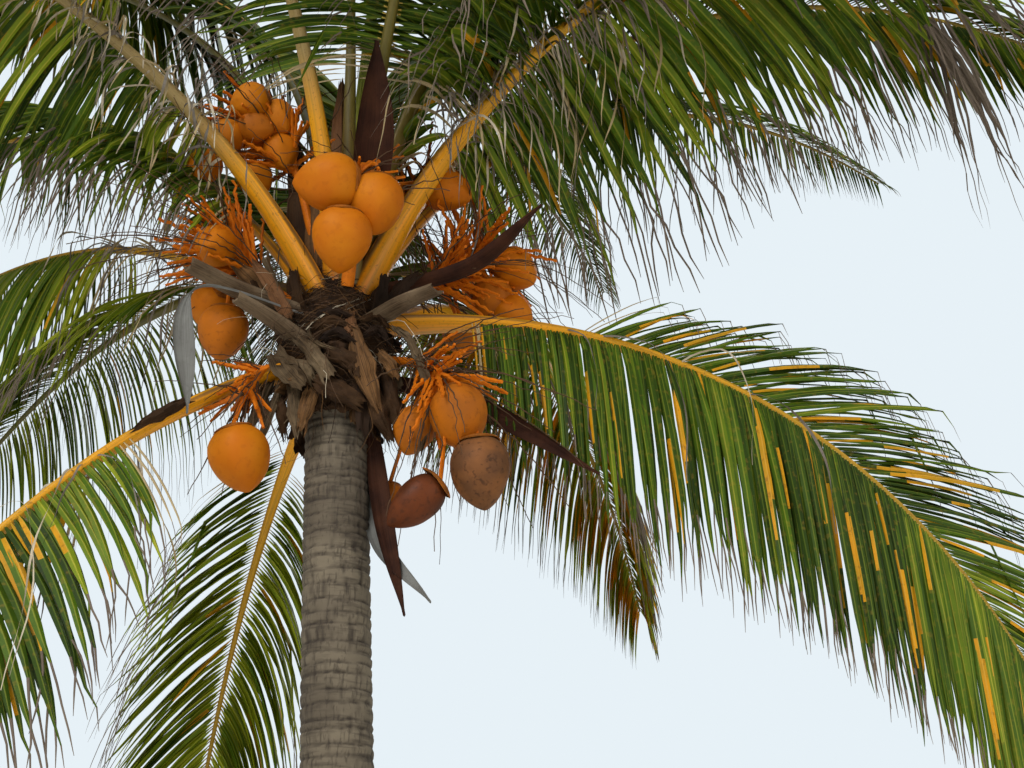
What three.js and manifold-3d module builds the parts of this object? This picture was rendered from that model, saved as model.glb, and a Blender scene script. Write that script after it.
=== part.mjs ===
// A coconut palm with a leaning ringed trunk, drooping fronds, orange fruit and dry spathes.
// Millimetres and degrees, +Z up, origin at the middle of the flat cut under the trunk.
// +X points right and +Y away from someone who looks at the side with the front fruit.
import * as THREE from 'three';
import { mergeVertices } from 'three/addons/utils/BufferGeometryUtils.js';
import Module from 'manifold-3d';

const wasm = await Module();
wasm.setup();

// Trunk and the mass of old leaf bases round its top
const TRUNK_HEIGHT = 3950;
const TRUNK_SIDES = 14;
const LEAN_CONTROL = [-205, 0, 2100];
const LEAN_TOP = [-320, 0, 4200];
const TRUNK_PROFILE = [
  [0, 205], [60, 185], [150, 160], [300, 138], [600, 124], [1100, 118], [1700, 117], [2300, 117],
  [2900, 116], [3400, 114], [3650, 100], [3850, 60],
];
const SHEATH_FOOT = 3370;
const SHEATH_TOP = 4150;
const SHEATH_SIDES = 12;
const SHEATH_PROFILE = [
  [3390, 136], [3460, 165], [3560, 196], [3660, 200], [3760, 176], [3860, 132], [3960, 90], [4080, 50],
];
const SHEATH_WAVE = 0.07;
const SHEATH_WAVES = 5;
const SHEATH_TWIST_HEIGHT = 90;
const BOOTS = 10;
const BOOT_FIRST_TURN = 20;
const BOOT_LENGTH = 250;
const BOOT_START = 120;
const BOOT_LOWEST_FOOT = 3520;
const BOOT_FOOT_STEP = 45;
const BOOT_DROPS = [-0.35, -0.75];
const BOOT_HALF = [48, 15];
const BOOT_END_HALF = [30, 7];

// Crown
const CROWN_X = -280;
const FROND_LENGTH = 3900;
const FROND_START = 60;
const BARE_SHARE = 0.23;
const RIB_SIDES = 5;
const OUTER_RIB_SIDES = 3;
const RIB_STEPS = 15;
const SPLIT_STEP = 7;
const RIB_HALF_WIDTH = [[0, 75], [0.115, 50], [0.23, 38], [0.31, 30], [0.51, 18], [1, 5]];
const RIB_DEPTH = [[0, 0.5], [0.3, 0.62], [1, 0.9]];
// turn is the compass angle from +X, rise the start above level, droop how far it bends down by its tip
const FRONDS = [
  { turn: 205, rise: -10, droop: 75, bend: 0.49, seat: 3610, sag: 1.3 },
  { turn: 112, rise: -4, droop: 84, bend: 1.2, seat: 3720, sag: 0.9 },
  { turn: 8, rise: 13, droop: 100, bend: 1.03, seat: 3790, sweep: 13, sag: 1.15 },
  { turn: 150, rise: 53, droop: 86, bend: 1.06, seat: 3640, sag: 1.6 },
  { turn: 65, rise: 48, droop: 108, bend: 1.1, seat: 3740, sag: 1.5 },
  { turn: 86, rise: 60, droop: 88, bend: 1.1, seat: 3700, sag: 1.5 },
  { turn: 163, rise: 62, droop: 95, bend: 1.1, seat: 3800, sag: 1.5 },
  { turn: 212, rise: 62, droop: 92, bend: 0.92, seat: 3820, sag: 1.6 },
  { turn: -22, rise: 66, droop: 96, bend: 1.12, seat: 3890, sag: 1.6 },
  { turn: 138, rise: 45, droop: 80, bend: 0.7, seat: 3890, sag: 1.5 },
  { turn: 30, rise: 66, droop: 78, bend: 1.1, seat: 3930, sag: 1.5 },
  { turn: 108, rise: 66, droop: 90, bend: 1.1, seat: 3900, sag: 1.5 },
  { turn: 66, rise: 70, droop: 85, bend: 1.1, seat: 3960, sag: 1.4 },
  { turn: 250, rise: 74, droop: 96, bend: 1.1, seat: 3940, sag: 1.6 },
  { turn: 288, rise: 70, droop: 98, bend: 1.1, seat: 3850, sag: 1.6 },
  { turn: 168, rise: 77.5, droop: 84, bend: 1.1, seat: 3990, sag: 1.5 },
  { turn: 318, rise: 76, droop: 90, bend: 1.1, seat: 3960, sag: 1.5 },
  { turn: 3, rise: 74.5, droop: 103, bend: 1.1, seat: 3850, sag: 1.7 },
  { turn: 145, rise: 80, droop: 60, bend: 1.2, seat: 4030, share: 0.92, sag: 1.1 },
  { turn: 268, rise: 82, droop: 52, bend: 1.3, seat: 4050, share: 0.88, sag: 1 },
  { turn: 35, rise: 84, droop: 44, bend: 1.3, seat: 4060, share: 0.8, sag: 0.9 },
];
const UPRIGHT_RISE = 78;
const SPEAR_LENGTH = 2250;
const SPEAR_FOOT = 4090;
const SPEAR_HALF_WIDTH = [[0, 26], [0.2, 34], [0.6, 24], [1, 3]];
const SPEAR_LEAN = [20, 60];
const SPEAR_STEPS = 6;

// Leaflets: few and wide here, each stands for a spray of narrow ones
const LEAFLETS_A_SIDE = 9;
const LEAFLET_LENGTH = 1020;
const LEAFLET_WIDTH = 150;
const LEAFLET_THICKNESS = 15;
const LEAFLET_WIDEST = 0.36;
const LEAFLET_ANGLES = [68, 30];
const LEAFLET_STEPS = 10;
// The first leaflets are half as long, they are full at a quarter of the way and shorten from FADE_FROM
const FIRST_LENGTH = 0.5;
const FULL_LENGTH_AT = 0.25;
const FADE_FROM = 0.45;
const FADE = 0.65;
const FADE_POWER = 1.5;
const LEAFLET_LIFT = 10;
const LEAFLET_SAG_START = 0.12;
const LEAFLET_SAG_POWER = 1.1;
const LEAFLET_TRIES = [1, 0.78, 0.56];

// Clear distances
const CUT_GAP = 0.4;
const LEAST_GAP = 0.3;
const BOX_MARGIN = 1;

// Fruit: angle, distance from the crown's axis, height, then half length
const FRUIT_SIDES = 6;
const FRUIT_RINGS = 4;
const FRUIT_SLIMNESS = 0.86;
const FRUIT_TIP_TAPER = 0.16;
const FRUIT_CAP_TAPER = 0.05;
const FRUIT_CAP_AT = 0.8;
const STALK_HALF = [24, 19];
const STALK_END_HALF = [16, 13];
const STALK_STEPS = 6;
const TWIG_HALF = 9;
const TWIG_SPREAD = 0.45;
const BUNCHES = {
  fruit_bunch_front: {
    stalk: [[283, 120, 3900], [284, 270, 4190], [283, 330, 4310]],
    fruit: [[267, 430, 4150, 122, [-1, -0.3, 0.1]], [292, 390, 4100, 122, [0.35, -0.3, -1]],
      [276, 380, 3930, 122, [-0.2, -0.2, -1]], [303, 450, 4170, 112, [0.6, -0.3, -0.6]]],
  },
  fruit_bunch_upper_left: {
    stalk: [[196, 110, 4060], [192, 250, 4520], [190, 400, 4760]],
    fruit: [[203, 460, 4710, 80], [196, 400, 4620, 76], [200, 320, 4680, 80], [187, 290, 4570, 80],
      [177, 380, 4460, 80], [191, 520, 4580, 80], [185, 600, 4470, 80]],
  },
  fruit_bunch_left: {
    stalk: [[188, 120, 3820], [190, 340, 3990], [190, 470, 4110]],
    fruit: [[203, 510, 4030, 95], [181, 450, 3760, 112], [172, 540, 3930, 100]],
  },
  fruit_bunch_lower_left: {
    stalk: [[240, 120, 3660], [236, 290, 3600], [222, 340, 3400]],
    fruit: [[218, 350, 3150, 122], [238, 350, 3330, 90]],
  },
  fruit_bunch_upper_right: {
    stalk: [[46, 100, 4040], [45, 250, 4480], [42, 370, 4740]],
    fruit: [[40, 470, 4670, 100], [52, 400, 4590, 95]],
  },
  fruit_bunch_right: {
    stalk: [[30, 95, 3860], [27, 380, 4090], [22, 600, 4300]],
    fruit: [[17, 700, 4180, 104], [22, 620, 4040, 104], [19, 700, 3970, 92], [31, 520, 3900, 92]],
  },
  fruit_bunch_lower_right: {
    stalk: [[330, 110, 3700], [334, 320, 3650], [334, 430, 3480]],
    fruit: [[336, 510, 3310, 120], [338, 590, 3095, 132], [326, 390, 2990, 120], [340, 320, 3300, 96],
      [310, 310, 3040, 96]],
  },
  fruit_bunch_back: {
    stalk: [[92, 110, 3900], [92, 330, 4110], [92, 470, 4080]],
    fruit: [[84, 480, 3880, 115], [98, 520, 3960, 115], [92, 580, 3780, 115], [106, 420, 3830, 110]],
  },
};

// Dry spathes: a pointed boat along three places, with the half width at its middle
const SPATHE_SIDES = 6;
const SPATHE_STEPS = 6;
const SPATHE_FLATNESS = 0.4;
const SPATHE_THINNEST = 9;
const SPATHE_STALK = 0.12;
const SPATHE_POINT = 0.98;
const SPATHES = {
  spathe_upright: { path: [[304, 120, 4070], [299, 300, 4440], [288, 480, 4780]], half: 58 },
  spathe_right: { path: [[352, 80, 3935], [345, 500, 3980], [327, 900, 4010]], half: 62 },
  spathe_lower_right: {
    path: [[355, 150, 3560], [2, 480, 3480], [355, 960, 3150]], half: 46, across: [0, 0, 1],
  },
  spathe_left: {
    path: [[226, 150, 3780], [217, 560, 3760], [232, 620, 3200]], half: 50, across: [1, 0.3, 0],
  },
  spathe_hanging_dark: {
    path: [[350, 130, 3440], [346, 205, 3020], [318, 420, 2590]], half: 36, across: [1, 0, 0],
  },
  spathe_hanging_grey: {
    path: [[14, 130, 3440], [348, 185, 2950], [322, 500, 2625]], half: 34, across: [1, 0, 0.5],
  },
};

// Grey stubs of dead leaf stalks: foot and end, with their half widths
const STUBS = {
  dead_stalk_left: { path: [[200, 130, 3800], [204, 380, 3850], [209, 600, 3885]], half: [66, 46] },
  dead_stalk_lower_left: { path: [[226, 140, 3640], [224, 300, 3700], [222, 450, 3740]], half: [55, 34] },
  dead_stalk_right: { path: [[318, 140, 3740], [320, 330, 3770], [322, 480, 3780]], half: [50, 34] },
};

const STUB_FLATNESS = 0.45;
const STUB_STEPS = 4;

const COLOURS = {
  bark: 0x8b8073,
  sheath: 0x5b4a3a,
  leaf: 0x5f7f2a,
  fruit: 0xe08a1e,
  spathe: 0x4a3a30,
  stub: 0x857a6b,
};

const RADIANS = Math.PI / 180;
const UP = new THREE.Vector3(0, 0, 1);
const lean = new THREE.QuadraticBezierCurve3(
  new THREE.Vector3(0, 0, 0),
  new THREE.Vector3(...LEAN_CONTROL),
  new THREE.Vector3(...LEAN_TOP),
);

/** Reads a value from rows of [place, value], straight between them. */
function between(rows, place) {
  const next = rows.findIndex(([start]) => start > place);
  if (next === 0) return rows[0][1];
  if (next < 0) return rows[rows.length - 1][1];
  const [startPlace, startValue] = rows[next - 1];
  const [endPlace, endValue] = rows[next];
  return startValue + ((endValue - startValue) * (place - startPlace)) / (endPlace - startPlace);
}

/** A closed solid from a geometry whose vertices are moved by place. */
function mapped(geometry, place) {
  const plain = geometry.index ? geometry.toNonIndexed() : geometry.clone();
  plain.deleteAttribute('normal');
  plain.deleteAttribute('uv');
  const merged = mergeVertices(plain, 1e-4);
  const position = merged.getAttribute('position');
  const corner = new THREE.Vector3();
  for (let i = 0; i < position.count; i += 1) {
    corner.copy(place(corner.fromBufferAttribute(position, i)));
    position.setXYZ(i, corner.x, corner.y, corner.z);
  }
  const faces = [];
  for (let i = 0; i < merged.index.count; i += 3) {
    const [a, b, c] = [merged.index.getX(i), merged.index.getX(i + 1), merged.index.getX(i + 2)];
    if (a !== b && b !== c && c !== a) faces.push(a, b, c);
  }
  return new wasm.Manifold(new wasm.Mesh({
    numProp: 3,
    vertProperties: new Float32Array(position.array),
    triVerts: new Uint32Array(faces),
  }));
}

/** A turned shape that follows the trunk's lean, from rows of [height, radius]. */
function leaning(foot, top, profile, sides, swell, grow = 0) {
  const outline = [new THREE.Vector2(0, foot - grow)];
  profile.forEach(([height, radius], i) => {
    const level = i === 0 ? Math.max(height - grow, foot - grow) : height;
    outline.push(new THREE.Vector2(radius + grow, level));
  });
  outline.push(new THREE.Vector2(0, top + grow));
  return mapped(new THREE.LatheGeometry(outline, sides), (corner) => {
    const axis = lean.getPoint(Math.max(corner.y, 0) / LEAN_TOP[2]);
    const angle = Math.atan2(corner.x, corner.z);
    const radius = Math.hypot(corner.x, corner.z) * (1 + swell(angle, corner.y));
    return new THREE.Vector3(axis.x + radius * Math.sin(angle), axis.y - radius * Math.cos(angle), corner.y);
  });
}

/** A place given by its angle round the crown's axis, its distance from it and its height. */
function crownPoint([turn, radius, height]) {
  const angle = turn * RADIANS;
  return new THREE.Vector3(CROWN_X + radius * Math.cos(angle), radius * Math.sin(angle), height);
}

/** A tapering limb along a path: frameAt(u) gives the place and its axes, half(u) the two half sizes. */
function limb(frameAt, half, sides, steps, grow = 0) {
  const shape = new THREE.CylinderGeometry(1, 1, 1, sides, steps);
  return mapped(shape, (corner) => {
    const u = corner.y + 0.5;
    const end = u < 0.001 ? -grow : u > 0.999 ? grow : 0;
    const { point, along, side, up } = frameAt(u);
    const [width, depth] = half(u);
    return point.clone()
      .addScaledVector(along, end)
      .addScaledVector(side, corner.x * (width + grow))
      .addScaledVector(up, -corner.z * (depth + grow));
  });
}

/** Frames along a smooth path through a few places; the wide side lies across the way out, or as given. */
function pathFrames(places, wide) {
  const curve = new THREE.CatmullRomCurve3(places.map(crownPoint));
  const turn = places[1][0] * RADIANS;
  const across = wide ? new THREE.Vector3(...wide) : new THREE.Vector3(-Math.sin(turn), Math.cos(turn), 0);
  return (u) => {
    const along = curve.getTangent(u);
    const side = across.clone().addScaledVector(along, -across.dot(along)).normalize();
    return { point: curve.getPoint(u), along, side, up: new THREE.Vector3().crossVectors(along, side) };
  };
}

/** The middle line of a frond as equal steps, each with its place and direction. */
function frondLine(frond) {
  const length = FROND_LENGTH * (frond.share ?? 1);
  const turn = frond.turn * RADIANS;
  const point = crownPoint([frond.turn, FROND_START, frond.seat]);
  const places = [point.clone()];
  for (let i = 0; i < RIB_STEPS; i += 1) {
    const u = (i + 0.5) / RIB_STEPS;
    point.addScaledVector(frondDirection(frond, turn, u).along, length / RIB_STEPS);
    places.push(point.clone());
  }
  return (u) => {
    const step = Math.min(Math.floor(u * RIB_STEPS), RIB_STEPS - 1);
    const place = places[step].clone().lerp(places[step + 1], u * RIB_STEPS - step);
    return { point: place, ...frondDirection(frond, turn, u) };
  };
}

/** The axes of a frond at u: along its rib, level across it, and up out of its upper face. */
function frondDirection(frond, turn, u) {
  const rise = (frond.rise - frond.droop * u ** frond.bend) * RADIANS;
  const angle = turn + (frond.sweep ?? 0) * RADIANS * u * u;
  const along = new THREE.Vector3(
    Math.cos(rise) * Math.cos(angle),
    Math.cos(rise) * Math.sin(angle),
    Math.sin(rise),
  );
  const side = new THREE.Vector3(-Math.sin(angle), Math.cos(angle), 0);
  return { along, side, up: new THREE.Vector3().crossVectors(along, side) };
}

/** A stretch of a frond's rib from one share of its length to another. */
function ribSolid(frond, start, end, sides, grow) {
  const line = frondLine(frond);
  const share = (u) => start + (end - start) * u;
  const half = (u) => {
    const width = between(RIB_HALF_WIDTH, share(u));
    return [width, width * between(RIB_DEPTH, share(u))];
  };
  const steps = Math.max(4, Math.round(RIB_STEPS * (end - start)));
  return limb((u) => line(share(u)), half, sides, steps, grow);
}

/** The places along one leaflet, which leaves the rib at u on one side and sags under its weight. */
function leafletPlaces(line, sag, u, hand, share) {
  const v = (u - BARE_SHARE) / (1 - BARE_SHARE);
  const grown = Math.min(1, FIRST_LENGTH + ((1 - FIRST_LENGTH) * v) / FULL_LENGTH_AT);
  const faded = 1 - FADE * Math.max(0, (v - FADE_FROM) / (1 - FADE_FROM)) ** FADE_POWER;
  const length = LEAFLET_LENGTH * grown * faded * share;
  const angle = THREE.MathUtils.lerp(...LEAFLET_ANGLES, v) * RADIANS;
  const lift = LEAFLET_LIFT * RADIANS;
  const { point, along, side, up } = line(u);
  const outward = side.clone().multiplyScalar(hand * Math.cos(lift)).addScaledVector(up, Math.sin(lift));
  const start = along.clone().multiplyScalar(Math.cos(angle)).addScaledVector(outward, Math.sin(angle));
  const places = [point.clone()];
  const place = point.clone();
  for (let i = 0; i < LEAFLET_STEPS; i += 1) {
    const t = (i + 0.5) / LEAFLET_STEPS;
    const fall = LEAFLET_SAG_START + sag * t ** LEAFLET_SAG_POWER;
    const way = start.clone().addScaledVector(UP, -fall).normalize();
    place.addScaledVector(way, length / LEAFLET_STEPS);
    places.push(place.clone());
  }
  return { places, length, along };
}

/** An eight-sided blade from its root in the rib through its widest place to its tip. */
function leafletSolid(line, sag, u, hand, share) {
  const { places, length, along } = leafletPlaces(line, sag, u, hand, share);
  const root = places[0];
  const middle = places[Math.round(LEAFLET_WIDEST * (places.length - 1))];
  const tip = places[places.length - 1];
  const way = tip.clone().sub(root).normalize();
  const across = along.clone().addScaledVector(way, -along.dot(way)).normalize();
  const face = new THREE.Vector3().crossVectors(across, way);
  const halfWidth = (LEAFLET_WIDTH / 2) * Math.sqrt(length / LEAFLET_LENGTH);
  return mapped(new THREE.OctahedronGeometry(1), (corner) => {
    if (corner.y > 0.5) return tip;
    if (corner.y < -0.5) return root;
    return middle.clone()
      .addScaledVector(across, corner.x * halfWidth)
      .addScaledVector(face, (corner.z * LEAFLET_THICKNESS) / 2);
  });
}

/** The box of a solid, a little larger than life. */
function boxOf(solid) {
  const { min, max } = solid.boundingBox();
  return new THREE.Box3(new THREE.Vector3(...min), new THREE.Vector3(...max)).expandByScalar(BOX_MARGIN);
}

/** One smooth coconut: broad at its stalk, slimmer and pointed at its end. */
function fruitSolid(centre, halfLength, pointing) {
  const turn = new THREE.Quaternion().setFromUnitVectors(UP, pointing);
  return mapped(new THREE.SphereGeometry(1, FRUIT_SIDES, FRUIT_RINGS), (corner) => {
    const end = corner.y;
    const taper = end > 0 ? FRUIT_TIP_TAPER : FRUIT_CAP_TAPER;
    const waist = FRUIT_SLIMNESS * (1 - taper * end * end);
    return new THREE.Vector3(corner.z * waist, corner.x * waist, end)
      .multiplyScalar(halfLength).applyQuaternion(turn).add(centre);
  });
}

/** A straight three-sided twig between two places. */
function twigSolid(start, end, grow) {
  const twig = new THREE.LineCurve3(start, end);
  const along = twig.getTangent(0);
  const other = Math.abs(along.z) > 0.9 ? new THREE.Vector3(1, 0, 0) : UP;
  const side = new THREE.Vector3().crossVectors(along, other).normalize();
  const up = new THREE.Vector3().crossVectors(along, side);
  const frameAt = (u) => ({ point: twig.getPoint(u), along, side, up });
  return limb(frameAt, () => [TWIG_HALF, TWIG_HALF], 3, 1, grow);
}

/** A bunch: its curved stalk, three-sided twigs and the fruit that they carry. */
function bunchSolid({ stalk, fruit }, grow = 0) {
  const frames = pathFrames(stalk);
  const half = (u) => STALK_HALF.map((size, i) => THREE.MathUtils.lerp(size, STALK_END_HALF[i], u));
  const stem = limb(frames, half, RIB_SIDES, STALK_STEPS, grow);
  return fruit.reduce((solid, [turn, radius, height, halfLength, tip], i) => {
    const centre = crownPoint([turn, radius, height]);
    const joint = frames(1 - (TWIG_SPREAD * i) / fruit.length).point;
    const pointing = tip ? new THREE.Vector3(...tip) : centre.clone().sub(joint);
    pointing.normalize();
    const cap = centre.clone().addScaledVector(pointing, -FRUIT_CAP_AT * halfLength);
    return solid.add(twigSolid(joint, cap, grow)).add(fruitSolid(centre, halfLength + grow, pointing));
  }, stem);
}

/** A dry spathe: a flattened boat that widens from its foot and ends in a point. */
function spatheSolid({ path, half, across }, grow) {
  const bulge = (u) => Math.sin(Math.PI * THREE.MathUtils.lerp(SPATHE_STALK, SPATHE_POINT, u));
  const width = (u) => half * Math.max(SPATHE_STALK, bulge(u));
  const sizes = (u) => [width(u), Math.max(SPATHE_THINNEST, width(u) * SPATHE_FLATNESS)];
  return limb(pathFrames(path, across), sizes, SPATHE_SIDES, SPATHE_STEPS, grow);
}

/** A grey stub of a dead leaf stalk. */
function stubSolid({ path, half: [foot, end] }, grow) {
  const width = (u) => THREE.MathUtils.lerp(foot, end, u);
  return limb(pathFrames(path), (u) => [width(u), width(u) * STUB_FLATNESS], RIB_SIDES, STUB_STEPS, grow);
}

/** The rough swelling of old leaf bases round the neck. */
function sheathSolid(grow) {
  const phase = (angle, height) => SHEATH_WAVES * angle + height / SHEATH_TWIST_HEIGHT;
  const swell = (angle, height) => SHEATH_WAVE * Math.sin(phase(angle, height));
  return leaning(SHEATH_FOOT, SHEATH_TOP, SHEATH_PROFILE, SHEATH_SIDES, swell, grow);
}

/** One torn boot: a plate that stands off the swelling and hangs over. */
function bootSolid(index) {
  const turn = BOOT_FIRST_TURN + (index * 360) / BOOTS;
  const drop = BOOT_DROPS[index % 2];
  const foot = BOOT_LOWEST_FOOT + BOOT_FOOT_STEP * (index % 3);
  const reach = BOOT_LENGTH * (0.75 + 0.1 * (index % 4));
  const path = [
    [turn, BOOT_START, foot],
    [turn, BOOT_START + 0.5 * reach, foot + 0.2 * reach * drop],
    [turn, BOOT_START + 0.75 * reach, foot + reach * drop],
  ];
  const half = (u) => BOOT_HALF.map((size, i) => THREE.MathUtils.lerp(size, BOOT_END_HALF[i], u));
  return limb(pathFrames(path), half, 4, 2);
}

/** The unopened leaf that stands at the crown's middle. */
function spearSolid(grow) {
  const [middle, top] = SPEAR_LEAN;
  const halfway = SPEAR_FOOT + SPEAR_LENGTH / 2;
  const path = [[0, 0, SPEAR_FOOT], [0, middle, halfway], [0, top, SPEAR_FOOT + SPEAR_LENGTH]];
  const half = (u) => [between(SPEAR_HALF_WIDTH, u), between(SPEAR_HALF_WIDTH, u)];
  return limb(pathFrames(path), half, RIB_SIDES, SPEAR_STEPS, grow);
}

/** The largest body of a solid, which drops scraps that a cut leaves loose. */
function largest(solid) {
  return solid.decompose().reduce((best, body) => (body.volume() > best.volume() ? body : best));
}

// Every sub-part in turn: its solid, a slightly larger cutter, and the blades that are fused to it
const pieces = [];

/** Keeps a limb, cut clear of those before it; make(grow) builds it with a larger girth. */
function placePiece(name, colour, make) {
  const cutter = make(CUT_GAP);
  const box = boxOf(cutter);
  const near = pieces.filter((other) => other.box.intersectsBox(box));
  const solid = largest(near.reduce((rest, other) => rest.subtract(other.cutter), make(0)));
  const piece = { name, colour, solid, cutter, box, blades: [] };
  pieces.push(piece);
  return piece;
}

/** True if a blade stays clear of every piece but its own. */
function isClear(owner, blade, box) {
  return pieces.every((other) => {
    if (other === owner) return true;
    if (other.box.intersectsBox(box) && other.solid.minGap(blade, BOX_MARGIN) < LEAST_GAP) return false;
    const near = other.blades.filter((old) => old.box.intersectsBox(box));
    return near.every((old) => old.solid.minGap(blade, BOX_MARGIN) >= LEAST_GAP);
  });
}

/** Adds a blade to its piece if it touches nothing else, and says whether it did. */
function addBlade(owner, blade) {
  const box = boxOf(blade);
  if (!isClear(owner, blade, box)) return false;
  owner.blades.push({ solid: blade, box });
  return true;
}

placePiece('trunk', 'bark', (grow) => leaning(0, TRUNK_HEIGHT, TRUNK_PROFILE, TRUNK_SIDES, () => 0, grow));
const sheath = placePiece('leaf_sheath', 'sheath', sheathSolid);
placePiece('spear_leaf', 'leaf', spearSolid);

const halves = [];
FRONDS.forEach((frond, i) => {
  const name = `frond_${String(i + 1).padStart(2, '0')}`;
  if (frond.rise > UPRIGHT_RISE) {
    const piece = placePiece(name, 'leaf', (grow) => ribSolid(frond, 0, 1, RIB_SIDES, grow));
    halves.push({ frond, piece, start: 0, end: 1 });
    return;
  }
  const split = SPLIT_STEP / RIB_STEPS;
  const gapShare = CUT_GAP / FROND_LENGTH;
  const inner = placePiece(`${name}_inner`, 'leaf', (grow) => ribSolid(frond, 0, split, RIB_SIDES, grow));
  halves.push({ frond, piece: inner, start: 0, end: split });
  const outer = placePiece(
    `${name}_outer`,
    'leaf',
    (grow) => ribSolid(frond, split + gapShare, 1, OUTER_RIB_SIDES, grow),
  );
  halves.push({ frond, piece: outer, start: split, end: 1 });
});
Object.entries(STUBS).forEach(([name, stub]) => placePiece(name, 'stub', (grow) => stubSolid(stub, grow)));
Object.entries(BUNCHES).forEach(([name, bunch]) => {
  placePiece(name, 'fruit', (grow) => bunchSolid(bunch, grow));
});
Object.entries(SPATHES).forEach(([name, spathe]) => {
  placePiece(name, 'spathe', (grow) => spatheSolid(spathe, grow));
});

for (let i = 0; i < BOOTS; i += 1) addBlade(sheath, bootSolid(i));
for (let i = 0; i < LEAFLETS_A_SIDE; i += 1) {
  const u = BARE_SHARE + ((1 - BARE_SHARE) * (i + 0.5)) / LEAFLETS_A_SIDE;
  halves.filter(({ start, end }) => u >= start && u < end).forEach(({ frond, piece }) => {
    const line = frondLine(frond);
    [-1, 1].forEach((hand) => {
      LEAFLET_TRIES.some((share) => addBlade(piece, leafletSolid(line, frond.sag, u, hand, share)));
    });
  });
}

const palm = new THREE.Group();
palm.name = 'coconut_palm';
pieces.forEach(({ name, colour, solid, blades }) => {
  const whole = blades.reduce((sum, blade) => sum.add(blade.solid), solid);
  const { vertProperties, triVerts } = whole.getMesh();
  const geometry = new THREE.BufferGeometry();
  geometry.setAttribute('position', new THREE.BufferAttribute(vertProperties, 3));
  geometry.setIndex(new THREE.BufferAttribute(triVerts, 1));
  geometry.computeVertexNormals();
  const material = new THREE.MeshStandardMaterial({ color: COLOURS[colour], roughness: 0.8, metalness: 0 });
  const mesh = new THREE.Mesh(geometry, material);
  mesh.name = name;
  palm.add(mesh);
});
export default palm;
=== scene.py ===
"""A young coconut palm in fruit, dressed for close looks in the frame of its solids.

Every frond, bunch and spathe follows the same rule and the same sizes as its solid, carried on to
finer leaflets, twigs and fibres. Metres, +Z up, origin at the middle of the trunk's foot.
"""
import logging
import math
from dataclasses import KW_ONLY, dataclass, field
from enum import Enum
from typing import Callable, Iterator, Sequence

import bpy
import numpy as np
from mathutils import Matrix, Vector, noise


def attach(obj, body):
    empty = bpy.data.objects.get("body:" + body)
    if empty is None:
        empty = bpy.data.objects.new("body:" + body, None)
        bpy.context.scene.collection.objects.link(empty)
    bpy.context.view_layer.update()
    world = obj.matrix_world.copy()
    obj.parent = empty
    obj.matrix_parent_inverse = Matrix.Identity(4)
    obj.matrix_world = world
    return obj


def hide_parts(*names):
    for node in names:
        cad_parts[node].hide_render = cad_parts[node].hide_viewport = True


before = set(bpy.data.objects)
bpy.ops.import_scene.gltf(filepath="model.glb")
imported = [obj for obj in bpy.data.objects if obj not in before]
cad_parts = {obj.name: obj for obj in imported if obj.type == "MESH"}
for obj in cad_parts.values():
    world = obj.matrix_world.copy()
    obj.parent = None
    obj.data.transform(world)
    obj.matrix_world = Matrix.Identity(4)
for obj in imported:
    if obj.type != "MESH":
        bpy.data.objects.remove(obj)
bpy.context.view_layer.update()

log = logging.getLogger("coconut_palm")
Place = np.ndarray
Socket = bpy.types.NodeSocket
UP = np.array([0.0, 0.0, 1.0])

# The crown, as in the solids: millimetres where the name says so, shares and degrees elsewhere
CROWN_X_MM = -280.0
LEAN_CONTROL_MM = -205.0
LEAN_TOP_MM = -320.0
LEAN_HEIGHT_MM = 4200.0
FROND_START_MM = 60.0
FROND_LENGTH = 3.9
UNSPLIT_RISE = 78.0
BARE_SHARE = 0.23
RIB_HALF_WIDTH_MM = ((0, 75), (0.115, 50), (0.23, 38), (0.31, 30), (0.51, 18), (1, 5))
RIB_DEPTH = ((0, 0.6), (0.3, 0.66), (1, 0.9))
LEAFLET_LENGTH = 1.02
LEAFLET_ANGLES = (68.0, 30.0)
LEAFLET_HALF_WIDTH = 0.018
LEAFLET_STEPS = (0.0, 0.02, 0.07, 0.14, 0.22, 0.31, 0.4, 0.49, 0.58, 0.66, 0.74, 0.82, 0.91, 1.0)


# Small helpers


def srgb(colour: tuple[int, int, int]) -> tuple[float, float, float, float]:
    """A display colour of 0 to 255 as the linear colour that a shader takes."""
    def linear(part: int) -> float:
        """One channel."""
        share = part / 255.0
        return share / 12.92 if share <= 0.04045 else ((share + 0.055) / 1.055) ** 2.4
    red, green, blue = colour
    return linear(red), linear(green), linear(blue), 1.0


def unit(vector: Place) -> Place:
    """The vector at length one; rows are treated one by one."""
    return vector / np.maximum(np.linalg.norm(vector, axis=-1, keepdims=True), 1e-9)


def read(rows: Sequence[tuple[float, float]], place: float | Place) -> float | Place:
    """A value from rows of (place, value), straight between them."""
    return np.interp(place, [row[0] for row in rows], [row[1] for row in rows])


def crown_place(turn: float, radius_mm: float, height_mm: float) -> Place:
    """A place given by its angle round the crown's axis, its distance from it and its height."""
    angle = math.radians(turn)
    return np.array([
        (CROWN_X_MM + radius_mm * math.cos(angle)) / 1000,
        radius_mm * math.sin(angle) / 1000,
        height_mm / 1000,
    ])


def lean_x(height: float) -> float:
    """How far the trunk's middle stands off the foot's at a height, both in metres."""
    t = max(height, 0.0) * 1000 / LEAN_HEIGHT_MM
    return (2 * (1 - t) * t * LEAN_CONTROL_MM + t * t * LEAN_TOP_MM) / 1000


def ripple(place: Sequence[float], scale: float) -> float:
    """Smooth noise of about -1 to 1 at a place."""
    return noise.noise(Vector(place) * scale)


def outward(angle: float) -> Place:
    """The level direction at an angle, in radians, round an upright axis."""
    return np.array([math.cos(angle), math.sin(angle), 0.0])


def turns(sides: int) -> Place:
    """The angles of the places in a ring."""
    return 2 * np.pi * np.arange(sides) / sides


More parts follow.
